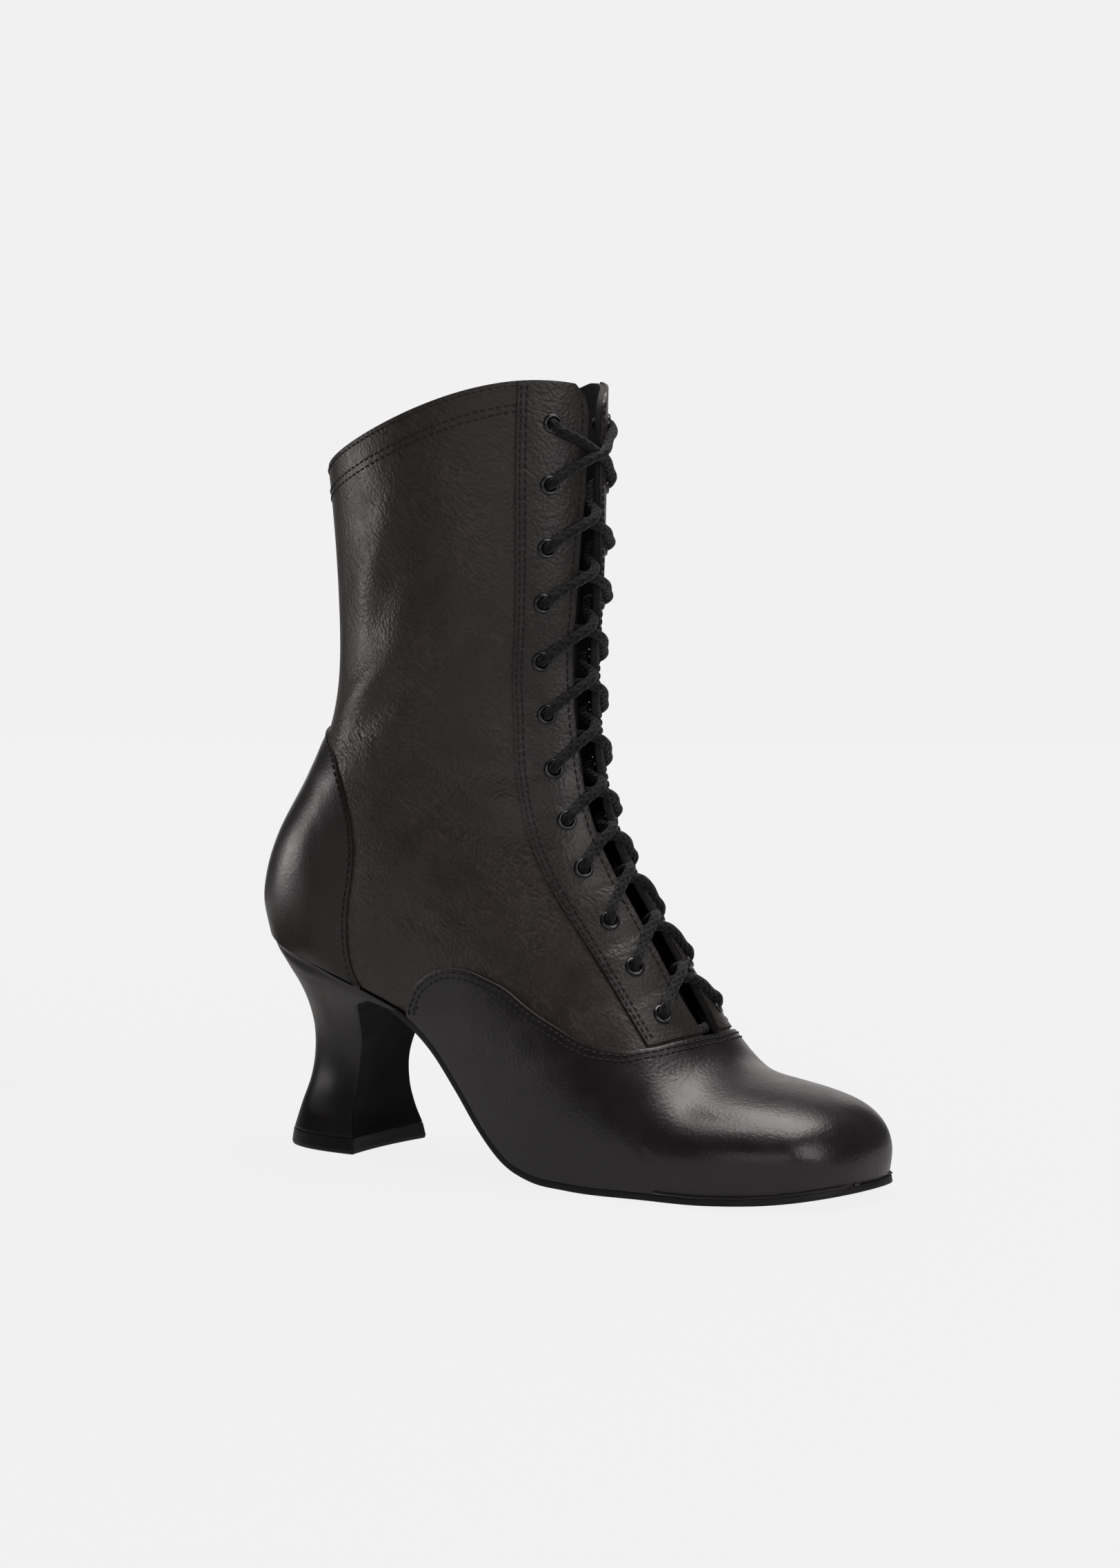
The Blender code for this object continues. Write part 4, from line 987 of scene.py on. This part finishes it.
# Heel: a moulded block, flared at the seat, waisted and flared again at the floor, covered with thin
# black leather. Its breast is hollow, with a crisp edge on each side. It is screwed on from inside.
HEEL_FLOOR = 5.6
SEAT_GROWTH = 1.02
WALL_SHARE = 0.75  # of the way round; the rest is the breast
LEVEL_POWER = 1.7  # brings the grid's levels closer together under the seat
SEAT_GROOVE = 0.035  # the wall stands in by this share just under the seat
GROOVE_END = 0.013  # shares of the way down to the floor
GROOVE_FADE = 0.003
# faces within this share of the way down are painted dark: painted shade in the groove
GROOVE_PAINTED_SHADE = 0.0115
OVER_SEAT = (-5, 20)  # from here on, over this length, the seat's height is read over the wall itself
SEAT_BLEND = 0.5
HOLLOW_BLEND = 0.16
HEEL_SQUARENESS = 0.82
BREAST_HOLLOW = 1.6
HEEL_DOWNS = (0, 0.025, 0.06, 0.12, 0.20, 0.34, 0.48, 0.60, 0.74, 0.88, 1)
HEEL_BACKS = (-27.3, -25.7, -23.8, -21.2, -18.6, -15, -12.6, -12.3, -13.6, -16.9, -19.6)
HEEL_HALF_WIDTHS = (27.4, 26.8, 25.6, 23.5, 20.8, 17, 14.8, 14.3, 15.5, 18.2, 20.3)
BREAST_DOWNS = (0, 0.043, 0.05, 0.062, 0.10, 0.134, 0.22, 0.416, 0.555, 0.687, 0.81, 0.886, 1)
HEEL_BREASTS = (37.6, 36.5, 33, 28.3, 23.6, 20.5, 17.9, 15.2, 13.5, 12.8, 12.6, 12.9, 14.5)


def heel_plan(around, down, back, breast, half_width):
    """Outline of the heel at a level: round the sides and back, then across the hollow breast."""
    turn = np.clip(around / WALL_SHARE, 0, 1) * math.pi
    x = breast + (back - breast) * np.clip(np.sin(turn), 0, 1) ** HEEL_SQUARENESS
    y = -half_width * np.sign(np.cos(turn)) * np.abs(np.cos(turn)) ** HEEL_SQUARENESS
    at = np.where(x < 0, x / SEAT_GROWTH, x)
    like_seat = np.clip(1 - down / SEAT_BLEND, 0, 1) ** 4
    y = y + (np.where(y < 0, -1, 1) * SEAT_GROWTH * side_width(at, y >= 0) - y) * like_seat
    lateral, medial = (
        half_width + (SEAT_GROWTH * feather_width(breast, widths) - half_width) * like_seat
        for widths in (LATERAL_WIDTHS, MEDIAL_WIDTHS)
    )
    cross = np.clip((around - WALL_SHARE) / (1 - WALL_SHARE), 0, 1)
    hollow = BREAST_HOLLOW * np.clip(down / HOLLOW_BLEND, 0, 1)
    on_breast = around > WALL_SHARE
    x = np.where(on_breast, breast - hollow * (1 - (1 - 2 * cross) ** 2), x)
    y = np.where(on_breast, medial - (lateral + medial) * cross, y)
    return x, y


def heel_place(around, level):
    down = level**LEVEL_POWER
    back, half_width = (through(HEEL_DOWNS, sizes, down) for sizes in (HEEL_BACKS, HEEL_HALF_WIDTHS))
    breast = through(BREAST_DOWNS, HEEL_BREASTS, down)
    seat = [np.full_like(down, sizes[0]) for sizes in (HEEL_BACKS, HEEL_BREASTS, HEEL_HALF_WIDTHS)]
    seat_x, _ = heel_plan(around, np.zeros_like(down), *seat)
    x, y = heel_plan(around, down, back, breast, half_width)
    groove = SEAT_GROOVE * (around < WALL_SHARE) * np.clip((GROOVE_END - down) / GROOVE_FADE, 0, 1)
    x, y = x - groove * x, y - groove * y
    above = seat_x + (x - seat_x) * eased((seat_x - OVER_SEAT[0]) / OVER_SEAT[1])
    seat_z = sole_line(np.where(above < 0, above / SEAT_GROWTH, above)) - SOLE_BELOW
    return np.stack([x, y, seat_z + (HEEL_FLOOR - seat_z) * down], -1)


def close_ends(piece):
    """Joins the seam of a lofted piece and fills its two ends."""
    merge_doubles(piece)
    edit_mesh(
        piece,
        (bpy.ops.mesh.fill_holes, {"sides": 0}),
        (bpy.ops.mesh.normals_make_consistent, {"inside": False}),
    )


heel = grid_piece("heel_block", 128, 130, heel_place)
heel_cover = grained_leather("heel_cover_calf", "#141010", 0.36, 0.06, 0.0, 0.05, Specular_IOR_Level=0.55)
# The breast flap and the groove under the seat are painted darker and duller: painted shade where they turn
# from the light.
breast_painted_shade = grained_leather("breast_flap_painted_shade", "#070606", 0.65, 0.1, 0.1, 0.05, Specular_IOR_Level=0.15)
heel.data.materials.append(heel_cover)
heel.data.materials.append(breast_painted_shade)
places = heel.data.uv_layers.active.data
# Faces of the breast and of the groove under the seat take the painted shade.
for face in heel.data.polygons:
    around, level = sum((places[corner].uv for corner in face.loop_indices), Vector((0, 0))) / face.loop_total
    if around > WALL_SHARE or level**LEVEL_POWER < GROOVE_PAINTED_SHADE:
        face.material_index = 1
close_ends(heel)
round_edges(heel, 0.25, sharpest=38)
finish_piece(heel, ["heel"])


# Heel top piece: the lift that meets the floor, cut from hard black rubber. It is pinned under the heel
# and trimmed to slope out a little.
TOP_PIECE_HEIGHT = 5.5
TOP_PIECE_LEVELS = (0, 0.18, 1)
TOP_PIECE_GROWTH = (0.6, 0.9, 0.15)  # past the heel's foot


def top_piece_place(around, up):
    grow = np.interp(up, TOP_PIECE_LEVELS, TOP_PIECE_GROWTH)
    sizes = HEEL_BACKS[-1] - grow, HEEL_BREASTS[-1] + grow, HEEL_HALF_WIDTHS[-1] + grow
    x, y = heel_plan(around, np.ones_like(up), *sizes)
    return np.stack([x, y, up * TOP_PIECE_HEIGHT], -1)


top_piece = grid_piece("heel_lift", 128, 10, top_piece_place)
close_ends(top_piece)
round_edges(top_piece, 0.35, sharpest=38)

# Hard rubber: smooth from the trimming wheel, black, with faint scuffs.
hard_rubber, tree, shader = new_material("hard_rubber", Roughness=0.4, Specular_IOR_Level=0.35)
scuff = noise(tree, object_place(tree), 6, 4.0)
tone = mixed(tree, scuff, colour("#080707"), colour("#171515"))
drive(tree, shader, Base_Color=tone, Roughness=map_range(tree, scuff, 0.0, 1.0, 0.3, 0.5))
top_piece.data.materials.append(hard_rubber)
finish_piece(top_piece, ["heel_top_piece"])


# Eyelets: pressed brass, enamelled black, twelve on each side. Each is a domed ring with a barrel
# that is turned over inside the facing.
# Its section: radius, height over the facing
EYELET_PROFILE = ((1.95, 0.35), (2.15, 0.72), (2.55, 0.85), (2.95, 0.72), (3.22, 0.38), (3.30, 0.05))
EYELET_PROFILE += ((2.5, 0.02), (2.4, -2.8), (3.1, -3.0), (3.0, -3.35), (2.3, -3.45), (1.95, -3.0))
EYELET_SIDES = 28
EYELET_MERGE = 0.01

ring_mesh = bpy.data.meshes.new("eyelet_ring")
corners = [(radius * MM, 0.0, height * MM) for radius, height in EYELET_PROFILE]
ring_mesh.from_pydata(corners, [(index, (index + 1) % len(corners)) for index in range(len(corners))], [])
ring = add_object("eyelet_ring", ring_mesh)
turned = {"axis": "Z", "angle": 2 * math.pi, "steps": EYELET_SIDES, "render_steps": EYELET_SIDES}
apply_modifier(ring, "SCREW", **turned, use_merge_vertices=True, merge_threshold=EYELET_MERGE * MM)
edit_mesh(
    ring,
    (bpy.ops.mesh.remove_doubles, {"threshold": EYELET_MERGE * MM}),
    (bpy.ops.mesh.normals_make_consistent, {"inside": False}),
)
bpy.ops.object.shade_smooth_by_angle(angle=math.radians(60))

# Black enamel on brass: a hard gloss coat, rubbed paler by the cord on the crown.
enamel, tree, shader = new_material("black_enamel", Roughness=0.2, Coat_Weight=0.6, Coat_Roughness=0.08)
rub = noise(tree, object_place(tree), 2, 3.0)
drive(tree, shader, Base_Color=mixed(tree, rub, colour("#080809"), colour("#1c1c1d")))
for side, (centres, outwards) in eyelet_places(EYESTAY_THICKNESS + LIFT).items():
    for number, (centre, outward) in enumerate(zip(centres, outwards), start=1):
        eyelet = add_object(f"eyelet_ring_{side}_{number:02d}", ring.data.copy())
        turn = Vector(outward).to_track_quat("Z", "Y").to_matrix().to_4x4()
        eyelet.data.transform(Matrix.Translation(Vector(centre) * MM) @ turn)
        eyelet.data.materials.append(enamel)
        finish_piece(eyelet, [f"eyelet_{side}_{number:02d}"])
bpy.data.objects.remove(ring)


# Lace: one round braided cord, 3.3 mm thick. It starts as a bar inside the two lowest eyelets; each half
# comes out of an eyelet, crosses the gap, dives under the other facing and comes out one row up.
LACE_RADIUS = 1.65
LACE_SPACING = 0.75
# One step of a half: share of the way to the next row, share of the eyelet's distance from the middle
# (minus: the other side), height over the face
LACE_RISE = ((0.0, 1.0, -1.2), (0.0, 1.0, 1.2))  # out of an eyelet
LACE_STEP = (*LACE_RISE, (0.05, 0.93, 2.4), (0.14, 0.70, 2.0), (0.27, 0.38, 2.3), (0.39, 0.12, 1.9))
LACE_STEP += ((0.49, -0.08, 0.2), (0.58, -0.28, -2.4), (0.70, -0.54, -4.0), (0.90, -0.90, -4.1))
LACE_STEP += ((0.99, -1.0, -3.6),)
LACE_LAST = (*LACE_RISE, (0.06, 0.93, 2.3), (0.22, 0.62, 1.9), (0.42, 0.25, 2.4), (0.55, -0.05, 2.6))
LACE_LAST += ((0.75, -0.50, 2.0), (0.93, -0.93, 2.2), (1.0, -1.0, 1.2), (1.0, -1.0, -2.0), (1.0, -1.0, -4.2))
NEAR_OVER = 1.5  # the lateral half crosses over the medial one by this much
NEAR_REACH = 0.45  # within this share of the distance from the middle
DIVES_AT = 0.58  # share of the way up at which a half dives under the other facing
MEDIAL_DIVES_AT = 0.36  # the medial half lies flatter
# The bar at the throat: share of the eyelet's distance from the middle, how much lower in sections
LACE_BAR = ((0.0, 0.54), (0.4, 0.45), (0.75, 0.2), (0.97, 0.0))
BAR_DEPTH = -3.7


def lace_half(first_side):
    """Points of one half of the lace, from the bar at the throat to its end inside the top eyelet."""
    sides = SIDES if first_side == "lateral" else SIDES[::-1]
    ways = {"lateral": -1, "medial": 1}
    section, distance = EYELET_ROWS[0]
    steps = [(section - lower, ways[sides[0]] * across * distance, BAR_DEPTH) for across, lower in LACE_BAR]
    for index in range(len(EYELET_ROWS) - 1):
        lower, higher = EYELET_ROWS[index], EYELET_ROWS[index + 1]
        own = sides[index % 2]
        last = index == len(EYELET_ROWS) - 2
        for up, across, height in LACE_LAST if last else LACE_STEP:
            over = NEAR_OVER / 2 * max(0.0, 1 - abs(across) / NEAR_REACH)
            if own == "medial" and not last:
                up = float(np.interp(up, (0, DIVES_AT, 1), (0, MEDIAL_DIVES_AT, 1)))
            section, distance = (start + (end - start) * up for start, end in zip(lower, higher))
            steps.append((section, ways[own] * across * distance, height - ways[own] * over))
    section, reach, height = np.array(steps).T
    return skin(section, off_middle(section, reach), height)


def lace_tube(name, knots):
    reached = path_lengths(knots)
    count = int(reached[-1] / LACE_SPACING)
    at = np.linspace(0, reached[-1], count + 1)
    path = np.stack([through(reached, knots[:, axis], at) for axis in range(3)], -1)
    heading = unit(np.gradient(path, axis=0))
    side = np.zeros_like(path)
    side[0] = np.cross(heading[0], (0.0, 0.0, 1.0))
    for index in range(1, len(path)):
        side[index] = unit(side[index - 1] - (side[index - 1] @ heading[index]) * heading[index])
    side[0] = unit(side[0])
    other = np.cross(heading, side)

    def place(around, along):
        row = np.rint(along * count).astype(int)
        turn = around[:, None] * 2 * math.pi
        return path[row] + LACE_RADIUS * (np.cos(turn) * side[row] + np.sin(turn) * other[row])

    tube = grid_piece(name, 14, count, place)
    close_ends(tube)
    bpy.ops.object.shade_smooth()
    return tube, reached[-1]


# Braided polyester cord: yarns that cross over each other. Four each way are drawn, wider than real ones
# so that they show; the cord is a matt blue-black with a slight sheen on the yarns.
YARNS = 4
BRAID_REPEAT = 3.4


def braided_cord(name, length):
    finish = {"Roughness": 0.72, "Specular_IOR_Level": 0.3, "Sheen_Weight": 0.15, "Sheen_Roughness": 0.4}
    made, tree, shader = new_material(name, **finish)
    place = add_node(tree, "ShaderNodeTexCoord").outputs["UV"]
    parts = add_node(tree, "ShaderNodeSeparateXYZ", {"Vector": place})
    turns = calculate(tree, "MULTIPLY", parts.outputs["X"], YARNS * 2 * math.pi)
    run = calculate(tree, "MULTIPLY", parts.outputs["Y"], 2 * math.pi * length / BRAID_REPEAT)
    yarns = [calculate(tree, "SINE", calculate(tree, way, turns, run)) for way in ("ADD", "SUBTRACT")]
    height = map_range(tree, calculate(tree, "MAXIMUM", *yarns), -0.6, 1.0)
    # The dips between the yarns are painted darker than their tops: painted shade.
    tone = mixed(tree, height, colour("#040406"), colour("#15151b"))
    drive(tree, shader, Base_Color=tone, Normal=bump(tree, height, 0.9, 0.35))
    return made


crossings = [f"lace_crossing_{number:02d}" for number in range(1, 12)]
for side in SIDES:
    lace, length = lace_tube("lace_half_" + side, lace_half(side))
    lace.data.materials.append(braided_cord("braided_cord_" + side, length))
    finish_piece(lace, crossings)


# Floor: white paper, lit by itself so that the camera sees one pale ground; its own colour is kept dark,
# and it glows a little less where the boxes light it. A board under the boot, unseen, gives the underside
# the paper's reflection.
LIT_RADIUS = 1.35  # metres, of the place that the boxes light
LIT_LESS = 0.03
PAPER_GLOW = 0.997


def disc(name, radius, below, made):
    place = (0, 0, -below * MM)
    bpy.ops.mesh.primitive_circle_add(vertices=96, radius=radius, fill_type="NGON", location=place)
    piece = bpy.context.object
    piece.name = name
    piece.data.materials.append(made)
    return piece


paper, tree, shader = new_material(
    "white_paper", Base_Color=colour("#303030"), Roughness=0.9, Specular_IOR_Level=0.0
)
place = object_place(tree)
square = add_node(tree, "ShaderNodeVectorMath", {0: place, 1: place}, operation="DOT_PRODUCT").outputs["Value"]
lit = calculate(tree, "POWER", calculate(tree, "MULTIPLY_ADD", square, 1 / LIT_RADIUS**2, 1.0), -2.0)
unlit = calculate(tree, "MULTIPLY_ADD", lit, -LIT_LESS, PAPER_GLOW)
glow = add_node(tree, "ShaderNodeEmission", {"Color": colour("#f1f1f1"), "Strength": unlit})
both = add_node(tree, "ShaderNodeAddShader", {0: shader.outputs[0], 1: glow.outputs[0]})
tree.links.new(both.outputs[0], tree.nodes["Material Output"].inputs["Surface"])
floor = disc("paper_floor", 60, 0.5, paper)
floor.visible_glossy = False
floor.visible_diffuse = False

white = colour("#f0efed")
board_white, tree, shader = new_material(
    "white_board", Base_Color=white, Roughness=0.9, Emission_Color=white, Emission_Strength=0.25
)
board = disc("white_board", 0.7, 1.0, board_white)
board.visible_camera = False


# Studio light: a large soft box overhead for the toe and the facings, a small one low on the left for the
# counter and the folds of the shaft, one on the right for the toe's front, a wide weak fill from the
# camera's side and a card at the back for the far edges.
def soft_box(name, place, aim, width, height, watts):
    light = bpy.data.lights.new(name, "AREA")
    light.shape = "RECTANGLE"
    light.size = width
    light.size_y = height
    light.energy = watts
    light.color = (1.0, 0.95, 0.945)
    box = add_object(name, light)
    box.location = place
    box.rotation_euler = (Vector(aim) - Vector(place)).to_track_quat("-Z", "Y").to_euler()
    box.visible_camera = False


soft_box("overhead_box", (0.08, 0.20, 1.35), (0.10, 0.0, 0.05), 1.4, 0.9, 20)
soft_box("left_box", (-1.27, -0.46, 0.13), (0.0, 0.0, 0.12), 0.55, 0.28, 2.8)
soft_box("right_box", (1.4, -0.35, 0.60), (0.10, 0.0, 0.10), 0.6, 0.9, 4.5)
soft_box("fill_box", (1.0, -2.3, 0.5), (0.05, 0.0, 0.12), 2.4, 1.0, 6.5)
soft_box("back_card", (-0.9, 1.5, 0.5), (0.0, 0.0, 0.12), 1.6, 1.2, 4)

# A black card on the floor at the left keeps that box's light off the foot of the heel.
bpy.ops.mesh.primitive_plane_add(size=1, location=(-0.15, -0.05, 0.02))
card = bpy.context.object
card.name = "black_card"
card.scale = (0.04, 0.22, 1.0)
card.rotation_euler = (0.0, math.radians(90), math.radians(20))
bpy.ops.object.transform_apply(location=True, rotation=True, scale=True)
black_card, tree, shader = new_material(
    "black_card", Base_Color=colour("#0a0a0a"), Roughness=0.9, Specular_IOR_Level=0.0
)
card.data.materials.append(black_card)
card.visible_camera = False

world = bpy.data.worlds.new("studio")
bpy.context.scene.world = world
world.use_nodes = True
tree = world.node_tree
ray = add_node(tree, "ShaderNodeLightPath").outputs["Is Camera Ray"]
background = tree.nodes["Background"]
background.inputs["Color"].default_value = colour("#f1f1f1")
tree.links.new(map_range(tree, ray, 0.0, 1.0, 0.08, 1.0), background.inputs["Strength"])


# Camera: at the photograph's angle, from the toe's lateral side and a little above.
lens = bpy.data.cameras.new("camera")
lens.sensor_fit = "VERTICAL"
lens.sensor_height = 36
lens.lens = 100.2
camera = add_object("camera", lens)
camera.location = (0.8608, -1.1829, 0.242)
camera.rotation_euler = (Vector((0.0812, 0.0039, 0.125)) - camera.location).to_track_quat("-Z", "Y").to_euler()
bpy.context.scene.camera = camera
bpy.context.scene.view_settings.view_transform = "Standard"

bpy.context.view_layer.update()
